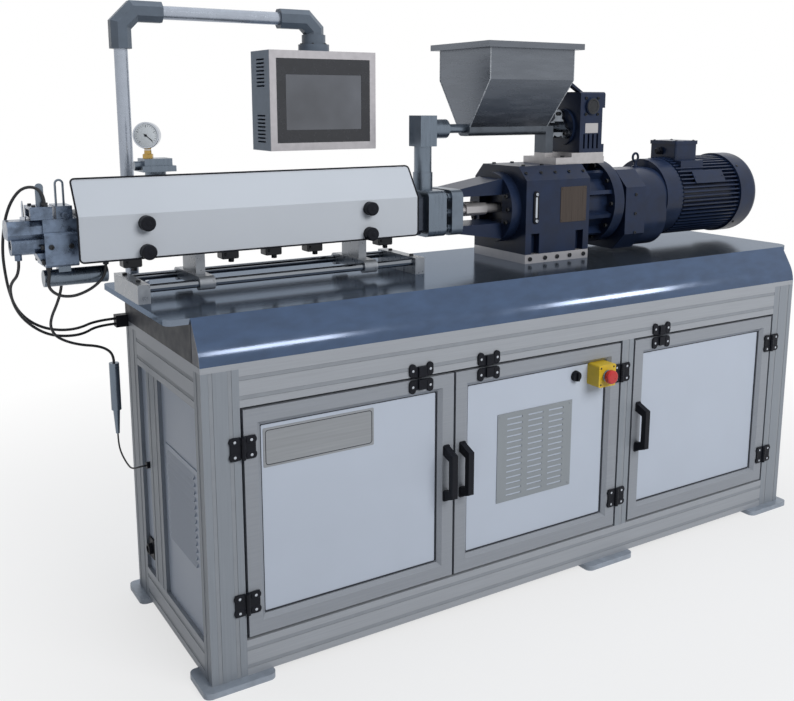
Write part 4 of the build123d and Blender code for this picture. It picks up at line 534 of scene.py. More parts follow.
def die_details():
    """Screws, strap, lifting loop and temperature probe of the die."""
    low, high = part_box("die_body")
    block_left = high.x - DIE_BLOCK_LONG

    def screws(bm):
        for dy, dz in product((-36, 36), (-50, -16)):
            at = (block_left, SCREW_AXIS.y + dy * MM, SCREW_AXIS.z + dz * MM)
            cap_screw(bm, at, LEFT, 6, 6)
        for dx, dy in product((-14, 10), (-24, 24)):
            at = (block_left + dx * MM, SCREW_AXIS.y + dy * MM, high.z)
            cap_screw(bm, at, UP, 4.5, 4)
        for dx in (14, 58):
            at = (block_left + dx * MM, low.y, SCREW_AXIS.z - 15 * MM)
            cap_screw(bm, at, FRONT, 6, 5)

    piece("die_screws", screws, "machine", "dark_screw")

    def strap(bm):
        tall = 56 * MM
        at = (block_left + 2 * MM, DIE_TOP_PARTS_Y, high.z - 4 * MM + tall / 2)
        plate(bm, facing(at, FRONT), 18 * MM, tall, 3 * MM, 8.5 * MM, 0.8 * MM)

    piece("die_strap", strap, "machine", "steel")

    def loop(bm):
        radius = 8.5 * MM
        x = block_left + 46 * MM
        foot = high.z - 2 * MM
        top = high.z + 58 * MM - radius
        arc = [(x + radius * c, DIE_TOP_PARTS_Y, top + radius * s)
               for c, s in spokes(180 - 22.5 * step for step in range(9))]
        feet = [(x - radius, DIE_TOP_PARTS_Y, foot), (x + radius, DIE_TOP_PARTS_Y, foot)]
        bead(bm, feet[:1] + arc + feet[1:], 2.6 * MM)

    piece("die_lifting_loop", loop, "machine", "steel")

    def probe(bm):
        at = (low.x + 40 * MM, SCREW_AXIS.y, SCREW_AXIS.z + 45 * MM)
        hex_nut(bm, at, UP, 7, 8)
        turned(bm, facing(at, UP), [(2.6, 6), (2.6, 34), (1.2, 44)], 12)

    piece("die_probe", probe, "machine", "bright")


def heater_terminals():
    """Terminal boxes under the heater jackets, each with a cover screw and a gland."""
    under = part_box("barrel")[0].z
    z = under - TERMINAL_TALL / 2
    front = SCREW_AXIS.y - TERMINAL_DEEP / 2

    def build(bm):
        for place in TERMINAL_PLACES:
            x = place * MM
            back = facing((x, front + TERMINAL_DEEP, z), FRONT)
            plate(bm, back, TERMINAL_WIDE, TERMINAL_TALL, TERMINAL_DEEP, 4 * MM, 1.5 * MM)
            pan_screw(bm, (x - 14 * MM, front, z), FRONT, 3.5, 2)
            hex_nut(bm, (x + 8 * MM, SCREW_AXIS.y, under - TERMINAL_TALL), DOWN, 8, 10)

    piece("heater_terminals", build, "machine", "dark_screw")


# Vacuum gauge

GAUGE_RADIUS = 31 * MM
GAUGE_FACE_OUT = 12 * MM
GAUGE_TURN = math.radians(30)
GAUGE_MARKS = 20
MARK_CIRCLE = 24.5 * MM
SCALE_START = 225
SCALE_SWEEP = 270
NEEDLE_TURN = math.radians(-40)


def gauge_face():
    """Rim, dial, marks with needle, and brass stem of the gauge, which is turned a little to the left."""
    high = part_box("vacuum_gauge")[1]
    middle = middle_of("vacuum_gauge")
    middle.z = high.z - GAUGE_RADIUS
    way = Vector((-math.sin(GAUGE_TURN), -math.cos(GAUGE_TURN), 0))
    place = facing(middle + way * GAUGE_FACE_OUT, way)

    def rim(bm):
        profile = [(29, -2), (31.4, -2), (31.8, 0.5), (30.5, 2.5), (28, 2.5), (27.4, 0.4)]
        turned(bm, place, profile, 40)

    piece("gauge_rim", rim, "machine", "bright")

    def dial(bm):
        turned(bm, place, [(27.6, -1), (27.6, 0.7), (27.2, 0.9)], 40)

    piece("gauge_dial", dial, "machine", "dial")

    def marks(bm):
        face = place @ Matrix.Translation((0, 0, 0.8 * MM))
        for index in range(GAUGE_MARKS + 1):
            length, wide = (5.5 * MM, 1.1 * MM) if index % 5 == 0 else (3 * MM, 0.6 * MM)
            angle = math.radians(SCALE_START - SCALE_SWEEP * index / GAUGE_MARKS)
            mark = Matrix.Rotation(angle, 4, "Z") @ Matrix.Translation((MARK_CIRCLE - length / 2, 0, 0))
            plate(bm, face @ mark, length, wide, 0.3 * MM, 0.1 * MM, 0.05 * MM)
        needle = Matrix.Rotation(NEEDLE_TURN, 4, "Z") @ Matrix.Translation((7 * MM, 0, 0.6 * MM))
        plate(bm, face @ needle, 26 * MM, 1.5 * MM, 0.5 * MM, 0.3 * MM, 0.1 * MM)
        turned(bm, face, [(3, 0), (3, 1.6), (2, 2)], 16)

    piece("gauge_marks", marks, "machine", "black")

    def stem(bm):
        at = (middle.x, middle.y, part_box("vent_port")[1].z)
        hex_nut(bm, at, UP, 13, 11)
        turned(bm, facing(at, UP), [(8.6, 10), (8.6, 18), (7.9, 20), (8.4, 25)], 20)

    piece("gauge_stem_fitting", stem, "machine", "brass")


# Drive

BASE_SCREW_SHARES = (0.075, 0.31, 0.50, 0.70, 0.925)
TOP_SCREW_SHARES = (0.05, 0.28, 0.5, 0.72, 0.95)
LANTERN_BOSS = 35 * MM
LANTERN_SCREW_CIRCLE = 88 * MM
LANTERN_SCREW_ANGLES = (-26, 0, 26, 154, 180, 206)
BELL_DISC = 40 * MM
BELL_SCREW_CIRCLE = 118 * MM
MOTOR_PLATE_ALONG = 204 * MM
MOTOR_PLATE_OUT = 129 * MM
MOTOR_PLATE_TILT = math.radians(31)
TERMINAL_BOX_LEFT = 98 * MM


def drive_screws():
    """Screws of the gearbox, its base, the lantern and the bell, and the nuts on the barrel clamp."""
    base_low, base_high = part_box("gearbox_base")
    box_low, box_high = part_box("gearbox_housing")
    lantern_low, lantern_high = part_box("lantern")
    length = base_high.x - base_low.x
    boss_left = lantern_high.x - LANTERN_BOSS
    disc_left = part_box("bell_housing")[1].x - BELL_DISC

    def about_axis(x, radius, c, s):
        return (x, SCREW_AXIS.y + radius * c, SCREW_AXIS.z + radius * s)

    def build(bm):
        for share in BASE_SCREW_SHARES:
            at = (base_low.x + share * length, base_low.y, (base_low.z + base_high.z) / 2)
            cap_screw(bm, at, FRONT, 6.5, 4)
        for share in TOP_SCREW_SHARES:
            at = (box_low.x + share * length, box_low.y + 20 * MM, box_high.z - 20 * MM)
            cap_screw(bm, at, (0, -1, 1), 5, 3.5)
        for c, s in spokes(LANTERN_SCREW_ANGLES):
            cap_screw(bm, about_axis(boss_left, LANTERN_SCREW_CIRCLE, c, s), LEFT, 6.5, 7)
        for c, s in spokes(range(108, 468, 36)):
            cap_screw(bm, about_axis(disc_left, BELL_SCREW_CIRCLE, c, s), LEFT, 6.5, 8)
        for dx, y in product((30, 100), (box_low.y + 55 * MM, box_high.y - 55 * MM)):
            cap_screw(bm, (box_low.x + dx * MM, y, box_high.z), UP, 6, 4)

    piece("drive_screws", build, "machine", "dark_screw")

    def nuts(bm):
        clamp_low, clamp_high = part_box("barrel_clamp")
        across = (clamp_high.y - clamp_low.y) * 0.38
        rise = (clamp_high.z - clamp_low.z) * 0.34
        for sy, sz in product((-1, 1), (-1, 0, 1)):
            at = (lantern_low.x, SCREW_AXIS.y + sy * across, SCREW_AXIS.z + sz * rise)
            hex_nut(bm, at, LEFT, 12, 8)

    piece("stud_nuts", nuts, "machine", "steel")


def gearbox_fittings():
    """Bare plate and oil sight on the front of the gearbox."""
    low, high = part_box("gearbox_housing")
    plate_middle = Vector((high.x - 64.5 * MM, low.y, high.z - 116 * MM))
    sight_middle = Vector((low.x + 36 * MM, low.y, high.z - 119 * MM))
    thick = 1.4 * MM

    def bare_plate(bm):
        plate(bm, facing(plate_middle, FRONT), 102 * MM, 106 * MM, thick, 3 * MM, 0.4 * MM)
        for dx, dz in product((-45, 45), (-47, 47)):
            at = plate_middle + Vector((dx * MM, -thick, dz * MM))
            pan_screw(bm, at, FRONT, 2.2, 1.2)

    piece("gearbox_bare_plate", bare_plate, "machine", "bronze")

    def sight(bm):
        plate(bm, facing(sight_middle, FRONT), 20 * MM, 96 * MM, 4 * MM, 9 * MM, 1 * MM)

    piece("sight_body", sight, "machine", "black")

    def sight_glass(bm):
        place = facing(sight_middle - Vector((0, 3.6 * MM, 0)), FRONT)
        plate(bm, place, 7 * MM, 62 * MM, 1.2 * MM, 3 * MM, 0.4 * MM)
        for dz in (-39, 39):
            cap_screw(bm, sight_middle + Vector((0, -4 * MM, dz * MM)), FRONT, 5, 3.5)

    piece("sight_glass", sight_glass, "machine", "bright")


def motor_fittings():
    """Eye bolt, screws, bare plate and cable gland of the gear unit and the motor."""
    gear_low, gear_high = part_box("gear_unit")
    motor_low, motor_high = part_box("motor")
    cowl_low, cowl_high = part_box("fan_cowl")
    axis = middle_of("fan_cowl")
    radius = (cowl_high.z - cowl_low.z) / 2
    box_left = motor_low.x + TERMINAL_BOX_LEFT

    def eye_bolt(bm):
        at = Vector((gear_high.x - 26 * MM, axis.y, gear_high.z))
        turned(bm, facing(at, UP), [(11, -1), (11, 4), (6, 6), (5, 18)], 20)
        middle = at + Vector((0, 0, 32 * MM))
        ring = [middle + Vector((12 * MM * c, 0, 13 * MM * s)) for c, s in spokes(range(0, 360, 15))]
        bead(bm, ring, 4 * MM, closed=True, segments=10)

    piece("eye_bolt", eye_bolt, "machine", "navy")

    def screws(bm):
        for c, s in spokes(DIAGONALS):
            at = (cowl_low.x + 16 * MM, axis.y + radius * c, axis.z + radius * s)
            pan_screw(bm, at, (0, c, s), 5, 3, up=RIGHT)
        for dx, dy in product((12, 94), (-48, 48)):
            at = (box_left + dx * MM, axis.y + dy * MM, motor_high.z)
            pan_screw(bm, at, UP, 4.5, 2.5)
        for dz in (-96, -36, 24):
            at = (gear_low.x + 58 * MM, gear_low.y, axis.z + dz * MM)
            cap_screw(bm, at, FRONT, 5, 3)

    piece("motor_screws", screws, "machine", "dark_screw")

    def bare_plate(bm):
        way = Vector((0, -math.cos(MOTOR_PLATE_TILT), math.sin(MOTOR_PLATE_TILT)))
        at = Vector((motor_low.x + MOTOR_PLATE_ALONG, axis.y, axis.z)) + way * MOTOR_PLATE_OUT
        thick = 3 * MM
        plate(bm, facing(at, way), 144 * MM, 46 * MM, thick, 4 * MM, 0.6 * MM)
        for dx in (-64, 64):
            pan_screw(bm, at + Vector((dx * MM, 0, 0)) + way * thick, way, 3, 1.5)

    piece("motor_bare_plate", bare_plate, "machine", "navy")

    def box_gland(bm):
        at = (box_left, axis.y + 10 * MM, motor_high.z - 34 * MM)
        hex_nut(bm, at, LEFT, 14, 9)
        turned(bm, facing(at, LEFT), [(10, 8), (10, 15), (7, 19)], 20)

    piece("terminal_gland", box_gland, "machine", "black")


# Feeder and operator panel

HOPPER_RIM = 21 * MM
HOPPER_RIM_TALL = 17 * MM
HOPPER_BOX_TALL = 103 * MM
WELD_RADIUS = 1.7 * MM
WORM_COVER_SCREWS = 34 * MM
COUPLING_RADIUS = 53 * MM
COUPLING_DISC = 12 * MM
COUPLING_SCREWS = 40 * MM
FEEDER_PLATE = 20 * MM
RING_SCREWS = 38 * MM
ARM_FOOT_RADIUS = 42 * MM
ARM_FOOT_THICK = 10 * MM
ARM_FOOT_SCREWS = 31 * MM


def hopper_welds():
    """Weld beads down the hopper's four corners, from the rim to the throat."""
    low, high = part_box("hopper")
    throat_low, throat_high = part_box("feeder_trough")
    left = low.x + HOPPER_RIM
    right = high.x - HOPPER_RIM

    def build(bm):
        for y, throat_y in ((low.y + HOPPER_RIM, throat_low.y), (high.y - HOPPER_RIM, throat_high.y)):
            for x, throat_x in ((left, left), (right, throat_high.x)):
                top = (x, y, high.z - HOPPER_RIM_TALL)
                fold = (x, y, high.z - HOPPER_BOX_TALL)
                bead(bm, [top, fold, (throat_x, throat_y, low.z)], WELD_RADIUS)

    piece("hopper_welds", build, "machine", "weld")


def feeder_fittings():
    """Cover ring and bare label of the worm unit, and the screws of its coupling and plates."""
    low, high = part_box("worm_unit")
    front = low.y + 6 * MM
    cover = Vector((low.x + 53 * MM, low.y, high.z - 43 * MM))

    def cover_ring(bm):
        turned(bm, facing(cover, FRONT), [(24, -1), (24, 2), (19, 3), (17, 1.2)], 32)
        for c, s in spokes(DIAGONALS):
            at = (cover.x + WORM_COVER_SCREWS * c, front, cover.z + WORM_COVER_SCREWS * s)
            cap_screw(bm, at, FRONT, 4.5, 4)

    piece("worm_cover_ring", cover_ring, "machine", "dark_screw")

    def bare_label(bm):
        at = (cover.x + 2 * MM, front, cover.z - 66 * MM)
        plate(bm, facing(at, FRONT), 52 * MM, 30 * MM, 1 * MM, 2 * MM, 0.3 * MM)

    piece("worm_bare_label", bare_label, "machine", "ground")

    def coupling_screws(bm):
        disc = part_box("feeder_coupling")[1]
        axis_y = middle_of("feeder_coupling").y
        axis_z = disc.z - COUPLING_RADIUS
        for c, s in spokes((90, 210, 330)):
            at = (disc.x - COUPLING_DISC, axis_y + COUPLING_SCREWS * c, axis_z + COUPLING_SCREWS * s)
            cap_screw(bm, at, LEFT, 6, 7)

    piece("coupling_screws", coupling_screws, "machine", "dark_screw")

    def plate_screws(bm):
        plate_low, plate_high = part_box("feeder_plates")
        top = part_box("gearbox_housing")[1].z + FEEDER_PLATE
        for y in (plate_low.y + 18 * MM, plate_high.y - 18 * MM):
            cap_screw(bm, (plate_low.x + 40 * MM, y, top), UP, 6, 5)

    piece("plate_screws", plate_screws, "machine", "dark_screw")


def panel_fittings():
    """Display glass and the screws of the swivel ring and the arm's foot."""

    def glass(bm):
        middle = middle_of("panel_screen")
        at = (middle.x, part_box("panel_screen")[0].y + 1.5 * MM, middle.z - 4 * MM)
        plate(bm, facing(at, FRONT), 233 * MM, 149 * MM, 1.2 * MM, 2 * MM, 0.4 * MM)

    piece("display_glass", glass, "operator_panel", "glass")

    def ring_screws(bm):
        axis = middle_of("swivel_ring")
        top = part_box("swivel_ring")[0].z + 20 * MM
        for c, s in spokes(range(0, 360, 60)):
            at = (axis.x + RING_SCREWS * c, axis.y + RING_SCREWS * s, top)
            cap_screw(bm, at, UP, 3.5, 3)

    piece("ring_screws", ring_screws, "operator_panel", "dark_screw")

    def foot_screws(bm):
        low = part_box("arm_tubes")[0]
        axis_x = low.x + ARM_FOOT_RADIUS
        axis_y = middle_of("arm_tubes").y
        for c, s in spokes(DIAGONALS):
            at = (axis_x + ARM_FOOT_SCREWS * c, axis_y + ARM_FOOT_SCREWS * s, low.z + ARM_FOOT_THICK)
            cap_screw(bm, at, UP, 5, 5)

    piece("arm_foot_screws", foot_screws, "machine", "dark_screw")


# Cabinet

MODULE = 45 * MM
POST = 2 * MODULE
MULLION_FRONT = 318 * MM
MIDDLE_POST_X = (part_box("door_2_frame")[1].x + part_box("door_3_frame")[0].x) / 2
STRIP_WIDE = 9.6 * MM
STRIP_THICK = 3 * MM
STRIP_RECESS = 0.6 * MM
COVER_LIP = 30 * MM
COVER_LEAN = 4 * MM
COVER_BEND = 25 * MM
COVER_BEND_STEPS = 6
COVER_SHEET = 3 * MM
COVER_END = 2 * MM
COVER_END_SET = 0.5 * MM


def slot_strip(bm, start, end, way):
    """Cover strip in a profile slot, a little below the face that looks along way."""
    start = Vector(start)
    along = Vector(end) - start
    base = start + along / 2 - Vector(way) * (STRIP_RECESS + STRIP_THICK)
    plate(bm, facing(base, way, along), STRIP_WIDE, along.length, STRIP_THICK, 0.8 * MM, 0.4 * MM)


def slot_strips():
    """Strips in the outer slots of the cabinet's posts and rails."""
    low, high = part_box("frame_posts")
    bay = (low.z + POST, high.z - POST)
    near = MODULE / 2
    far = near + MODULE
    rail_heights = (low.z + near, low.z + far, high.z - far, high.z - near)

    def build(bm):
        for y, way in ((low.y, FRONT), (high.y, BACK)):
            for x in (low.x + near, low.x + far, high.x - far, high.x - near):
                slot_strip(bm, (x, y, low.z), (x, y, high.z), way)
            slot_strip(bm, (MIDDLE_POST_X, y, bay[0]), (MIDDLE_POST_X, y, bay[1]), way)
            for z in rail_heights:
                slot_strip(bm, (low.x + POST, y, z), (high.x - POST, y, z), way)
        for x, way in ((low.x, LEFT), (high.x, RIGHT)):
            for y in (low.y + near, high.y - far, high.y - near):
                slot_strip(bm, (x, y, low.z), (x, y, high.z), way)
            for y in (MULLION_FRONT + near, MULLION_FRONT + far):
                slot_strip(bm, (x, y, bay[0]), (x, y, bay[1]), way)
            for z in rail_heights:
                slot_strip(bm, (x, low.y + MODULE, z), (x, high.y - POST, z), way)

    piece("slot_strips", build, "machine", "strip")


def cover_profile(low, high, inset):
    """Section of the front cover, from its foot over the soft bend to the fold at the table."""
    foot = Vector((low.y, low.z))
    bend = Vector((low.y + COVER_LEAN, low.z + COVER_LIP))
    fold = Vector((high.y, high.z))
    before = bend + (foot - bend).normalized() * COVER_BEND
    after = bend + (fold - bend).normalized() * COVER_BEND
    points = [foot]
    for step in range(COVER_BEND_STEPS + 1):
        share = step / COVER_BEND_STEPS
        points.append(before.lerp(bend, share).lerp(bend.lerp(after, share), share))
    points.append(fold)
    return [(y + inset, z) for y, z in points]


def front_cover():
    """Folded sheet in front of the table, cut straight at both ends, with a dark plate in each end."""
    low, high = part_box("front_cover")
    outer = cover_profile(low, high, 0)
    inner = cover_profile(low, high, COVER_SHEET)
    inner[-1] = (high.y, high.z - COVER_SHEET)
    across = Matrix.Identity(4)

    def sheet(bm):
        section = outer + list(reversed(inner))
        skin(bm, across, [[(x, y, z) for y, z in section] for x in (low.x, high.x)])

    cover = piece("cover_sheet", sheet, "machine", "navy_sheet")
    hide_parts("front_cover")

    def ends(bm):
        section = inner + [(high.y, low.z)]
        for x, inwards, way in ((low.x, 1, LEFT), (high.x, -1, RIGHT)):
            outside = x + inwards * COVER_END_SET
            inside = outside + inwards * COVER_END
            skin(bm, across, [[(at, y, z) for y, z in section] for at in (outside, inside)])
            pan_screw(bm, (outside, low.y + 28 * MM, low.z + 38 * MM), way, 2.6, COVER_END_SET / MM)

    piece("cover_ends", ends, "machine", "navy")
    return cover


def end_socket():
    """Round socket on the sheet of the left end."""
    low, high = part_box("frame_posts")
    place = facing((low.x + 10 * MM, high.y - 117 * MM, low.z + 155 * MM), LEFT)

    def build(bm):
        plate(bm, place, 42 * MM, 56 * MM, 5 * MM, 4 * MM, 1 * MM)
        turned(bm, place, [(15, 4), (15, 14), (13, 16), (10, 16), (9, 8)], 28)

    piece("end_socket", build, "machine", "black")


def rod_block_screws():
    """Screws in the end blocks of the guide rods."""
    low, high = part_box("rod_supports")

    def build(bm):
        for x, y in product((low.x + 15 * MM, high.x - 15 * MM), (low.y + 45 * MM, high.y - 45 * MM)):
            cap_screw(bm, (x, y, low.z + 46 * MM), UP, 6, 5)

    piece("rod_block_screws", build, "machine", "dark_screw")


# Doors

HINGE_SIDES = {"door_1": -1, "door_2": 1, "door_3": 1}
DOOR_GAP = 7 * MM
HINGE_FROM_END = 88 * MM
LATCH_FROM_EDGE = 102 * MM
BAR_THICK = 5.8 * MM
BAR_WIDE = 19 * MM
HINGE_BAR_LONG = 27 * MM
HINGE_BAR_OUT = 20.3 * MM
HINGE_BAR_APART = 18 * MM
LATCH_BAR_LONG = 35 * MM
LATCH_BAR_APART = 26 * MM
HANDLE_FROM_EDGE = 22 * MM
HANDLE_RISE = 292 * MM
HANDLE_LONG = 125 * MM
SIGN_WIDE = 296 * MM
SIGN_TALL = 96 * MM
SIGN_THICK = 1 * MM
SIGN_BORDER = 6 * MM
LOCK_FROM_STOP = 78 * MM
LOCK_OUT = 12 * MM
CORNER_INSET = 8 * MM


def fitting_bars(name, body, places, wide, tall):
    """Rounded black bars on a hinge leaf or latch half, each with a bright screw."""

    def bars(bm):
        for at in places:
            plate(bm, facing(at, FRONT), wide, tall, BAR_THICK, BAR_WIDE / 2 - 0.5 * MM, 1.2 * MM)

    def screws(bm):
        for x, y, z in places:
            pan_screw(bm, (x, y - BAR_THICK, z), FRONT, 3.6, 1.6)

    piece(f"{name}_bars", bars, body, "black")
    piece(f"{name}_screws", screws, body, "bright")


def door_fittings(name, side):
    """Bars of one door's hinges and latch; half of each stands on the cabinet."""
    low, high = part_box(f"{name}_frame")
    axis_x = low.x - DOOR_GAP / 2 if side < 0 else high.x + DOOR_GAP / 2
    free_x = high.x - LATCH_FROM_EDGE if side < 0 else low.x + LATCH_FROM_EDGE
    heights = (low.z + HINGE_FROM_END, high.z - HINGE_FROM_END)

    def hinge_places(way):
        x = axis_x + way * HINGE_BAR_OUT
        return [(x, low.y, z + dz) for z, dz in product(heights, (-HINGE_BAR_APART, HINGE_BAR_APART))]

    def latch_places(z):
        return [(free_x + dx, low.y, z) for dx in (-LATCH_BAR_APART, LATCH_BAR_APART)]

    fitting_bars(f"{name}_hinge", name, hinge_places(-side), HINGE_BAR_LONG, BAR_WIDE)
    fitting_bars(f"{name}_base", "machine", hinge_places(side), HINGE_BAR_LONG, BAR_WIDE)
    latch_z = high.z - LATCH_BAR_LONG / 2
    keep_z = high.z + DOOR_GAP + LATCH_BAR_LONG / 2
    fitting_bars(f"{name}_latch", name, latch_places(latch_z), BAR_WIDE, LATCH_BAR_LONG)
    fitting_bars(f"{name}_keep", "machine", latch_places(keep_z), BAR_WIDE, LATCH_BAR_LONG)


def door_trim(name, side):
    """Dark bead round one door's panel, a painted shadow line where the panel meets its frame, and the caps
    at the feet of its handle.
    """
    low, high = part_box(f"{name}_frame")

    def shadow_line_bead(bm):
        panel_low, panel_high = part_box(f"{name}_panel")
        middle = (panel_low + panel_high) / 2
        size = panel_high - panel_low
        outline = rounded(size.x - 4 * MM, size.z - 4 * MM, 5 * MM)
        y = panel_low.y - 0.8 * MM
        # Dark bead: painted shadow line round the panel.
        bead(bm, [(middle.x + x, y, middle.z + z) for x, z in outline], 1.8 * MM, closed=True)

    piece(f"{name}_gasket", shadow_line_bead, name, "dark_sheet")

    def handle_caps(bm):
        x = high.x - HANDLE_FROM_EDGE if side < 0 else low.x + HANDLE_FROM_EDGE
        for way in (-1, 1):
            at = (x, low.y, low.z + HANDLE_RISE + way * HANDLE_LONG / 2)
            plate(bm, facing(at, FRONT), 21 * MM, 30 * MM, 3 * MM, 5 * MM, 1 * MM)

    piece(f"{name}_handle_caps", handle_caps, name, "black")


def door_sign():
    """Bare plate on door 1, with a dark line along its border."""
    low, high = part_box("door_1_panel")
    middle = Vector((low.x + 157 * MM, low.y, high.z - 61 * MM))

    def sign(bm):
        plate(bm, facing(middle, FRONT), SIGN_WIDE, SIGN_TALL, SIGN_THICK, 3 * MM, 0.4 * MM)

    piece("door_bare_plate", sign, "door_1", "brushed")

    def border(bm):
        outline = rounded(SIGN_WIDE - 2 * SIGN_BORDER, SIGN_TALL - 2 * SIGN_BORDER, 7 * MM)
        points = [middle + Vector((x, -SIGN_THICK, z)) for x, z in outline]
        bead(bm, points, 0.9 * MM, closed=True)

    piece("door_plate_border", border, "door_1", "dark_sheet")


def corner_screws(name, node, finish):
    """Small domed heads in the four front corners of a node on door 2."""
    low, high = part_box(node)

    def build(bm):
        for x, z in product((low.x + CORNER_INSET, high.x - CORNER_INSET),
                            (low.z + CORNER_INSET, high.z - CORNER_INSET)):
            pan_screw(bm, (x, low.y, z), FRONT, 3, 1.2)

    piece(name, build, "door_2", finish)


def stop_and_lock():
    """Lever of the lock and collar of the stop button on door 2, both at one height."""
    middle = middle_of("stop_box")

    def lock(bm):
        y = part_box("door_2_panel")[0].y - LOCK_OUT
        place = facing((middle.x - LOCK_FROM_STOP, y, middle.z), FRONT)
        turned(bm, place, [(15.5, -12), (15.5, -8), (14.3, -7)], 28)
        plate(bm, place, 6 * MM, 25 * MM, 7 * MM, 2.5 * MM, 1 * MM)

    piece("lock_lever", lock, "door_2", "black")

    def collar(bm):
        place = facing((middle.x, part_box("stop_box")[0].y, middle.z), FRONT)
        turned(bm, place, [(12, -1), (17.5, -1), (17.5, 2.5), (16, 4), (12, 4)], 32)

    piece("stop_collar", collar, "door_2", "steel")


# Studio: white surroundings, a pale floor that keeps the shadow, soft lamps and the camera.

SKY = (0.82, 0.90, 1.0)
SKY_STRENGTH = 0.11
FLOOR_REACH = 40.0
FLOOR_GREY = (0.62, 0.63, 0.65)
FLOOR_ROUGHNESS = 0.8
FLOOR_SPEC = 0.1
FLOOR_MIDDLE = (1.0, 0.28, 0.0)
FLOOR_NEAR = 0.9
FLOOR_FAR = 2.6
FLOOR_NEAR_WHITE = 0.68
# Place, target, watts, size and colour of each lamp.
LAMPS = {
    "key": ((1.9, -4.3, 3.6), (1.0, 0.2, 0.7), 232, (3.2, 2.4), (1.0, 0.99, 0.97)),
    "top": ((0.8, 0.6, 4.4), (0.9, 0.3, 0.9), 75, (4.0, 2.6), (0.88, 0.94, 1.0)),
    "back": ((1.4, 4.6, 2.8), (1.0, 0.5, 0.9), 60, (3.0, 2.0), WHITE),
}
COVER_LAMPS = {
    "right_strip": ((3.65, -2.34, 1.83), (1.22, -0.03, 0.81), 25, (0.5, 0.7), (1.0, 0.99, 0.97)),
    "left_strip": ((1.57, -2.97, 2.11), (0.18, -0.03, 0.81), 22, (0.5, 0.8), (1.0, 0.97, 0.94)),
}
PHOTO_WIDE = 794
PHOTO_SHIFT = -70
SENSOR_WIDE = 36.0
LENS = 42.81
CAMERA_PLACE = (-0.672, -1.9175, 1.3498)
CAMERA_DOWN = 10.59
CAMERA_RIGHT = 31.53


def seen_directly(tree):
    """1 for camera, mirror and glass rays, 0 for the rays that light the object."""
    path = tree.nodes.new("ShaderNodeLightPath").outputs
    value = path["Is Camera Ray"]
    for kind in ("Is Glossy Ray", "Is Transmission Ray"):
        value = add_node(tree, "Math", {0: value, 1: path[kind]}, "Value", "MAXIMUM")
    return value


def make_world():
    """Faint blue light from all round that is seen as plain white."""
    world = bpy.data.worlds.new("studio")
    bpy.context.scene.world = world
    world.use_nodes = True
    tree = world.node_tree
    tree.nodes.clear()
    lighting = add_node(tree, "Background", {"Color": (*SKY, 1), "Strength": SKY_STRENGTH}, "Background")
    seen = add_node(tree, "Background", {"Color": (*WHITE, 1), "Strength": 1.0}, "Background")
    mixed = add_node(tree, "MixShader", {"Fac": seen_directly(tree), 1: lighting, 2: seen}, "Shader")
    fill(tree, tree.nodes.new("ShaderNodeOutputWorld"), {"Surface": mixed})


def floor_paint():
    """Pale paint that takes the shadow near the machine and fades to white away from it."""
    mat, tree = new_material("floor_paint")
    shader = tree.nodes["Principled BSDF"]
    fill(tree, shader, {"Base Color": (*FLOOR_GREY, 1), "Roughness": FLOOR_ROUGHNESS,
                        "Specular IOR Level": FLOOR_SPEC})
    coords = add_node(tree, "TexCoord", {}, "Object")
    away = add_node(tree, "VectorMath", {0: coords, 1: FLOOR_MIDDLE}, "Value", "DISTANCE")
    fade = add_node(tree, "MapRange", {"Value": away, "From Min": FLOOR_NEAR, "From Max": FLOOR_FAR,
                                       "To Min": FLOOR_NEAR_WHITE, "To Max": 1.0}, "Result")
    share = add_node(tree, "Math", {0: fade, 1: seen_directly(tree)}, "Value", "MULTIPLY")
    white = add_node(tree, "Emission", {"Color": (*WHITE, 1)}, "Emission")
    mixed = add_node(tree, "MixShader", {"Fac": share, 1: shader.outputs["BSDF"], 2: white}, "Shader")
    fill(tree, tree.nodes["Material Output"], {"Surface": mixed})
    return mat


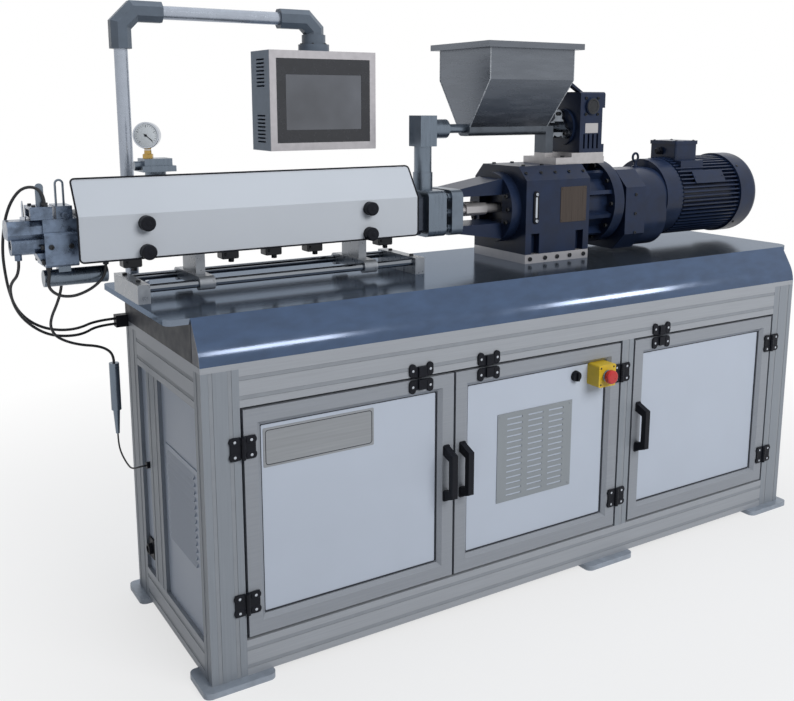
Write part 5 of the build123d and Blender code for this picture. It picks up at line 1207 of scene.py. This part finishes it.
def make_floor():
    mesh = bpy.data.meshes.new("floor")
    corners = [(FLOOR_REACH * x, FLOOR_REACH * y, 0) for x, y in ((-1, -1), (1, -1), (1, 1), (-1, 1))]
    mesh.from_pydata(corners, [], [(0, 1, 2, 3)])
    mesh.materials.append(floor_paint())
    put_in_scene("floor", mesh)


def lamp(name, place, target, energy, size, color, along=UP, mirror=None):
    """Soft lamp that looks at target, its second size along a given way.

    A lamp with a mirror lights nothing and only shines in that piece.
    """
    data = bpy.data.lights.new(name, "AREA")
    data.shape = "RECTANGLE"
    data.size, data.size_y = size
    data.energy = energy
    data.color = color
    obj = put_in_scene(name, data)
    obj.matrix_world = facing(place, Vector(place) - Vector(target), along)
    obj.visible_glossy = mirror is not None
    obj.visible_diffuse = mirror is None
    if mirror:
        receivers = bpy.data.collections.new(f"{name}_receivers")
        receivers.objects.link(mirror)
        obj.light_linking.receiver_collection = receivers


def make_camera():
    """Camera fitted to the photograph."""
    data = bpy.data.cameras.new("camera")
    data.sensor_width = SENSOR_WIDE
    data.sensor_fit = "HORIZONTAL"
    data.lens = LENS
    data.shift_y = PHOTO_SHIFT / PHOTO_WIDE
    camera = put_in_scene("camera", data)
    camera.location = CAMERA_PLACE
    camera.rotation_euler = (math.radians(90 - CAMERA_DOWN), 0, math.radians(-CAMERA_RIGHT))
    bpy.context.scene.camera = camera


dress_nodes()
guard_trim()
knob_lobes()
die_details()
lead_glands()
heater_terminals()
gauge_face()
drive_screws()
gearbox_fittings()
motor_fittings()
hopper_welds()
feeder_fittings()
panel_fittings()
slot_strips()
cover_sheet = front_cover()
for door, hinge_side in HINGE_SIDES.items():
    door_fittings(door, hinge_side)
    door_trim(door, hinge_side)
door_sign()
stop_and_lock()
corner_screws("stop_box_screws", "stop_box", "dark_screw")
corner_screws("grille_rivets", "vent_grille", "grille")
end_socket()
rod_block_screws()
for lead_name, lead_facts in LEADS.items():
    lead(lead_name, *lead_facts)

make_world()
make_floor()
for lamp_name, lamp_facts in LAMPS.items():
    lamp(lamp_name, *lamp_facts)
for lamp_name, lamp_facts in COVER_LAMPS.items():
    lamp(lamp_name, *lamp_facts, along=RIGHT, mirror=cover_sheet)
make_camera()
bpy.context.scene.view_settings.view_transform = "Standard"
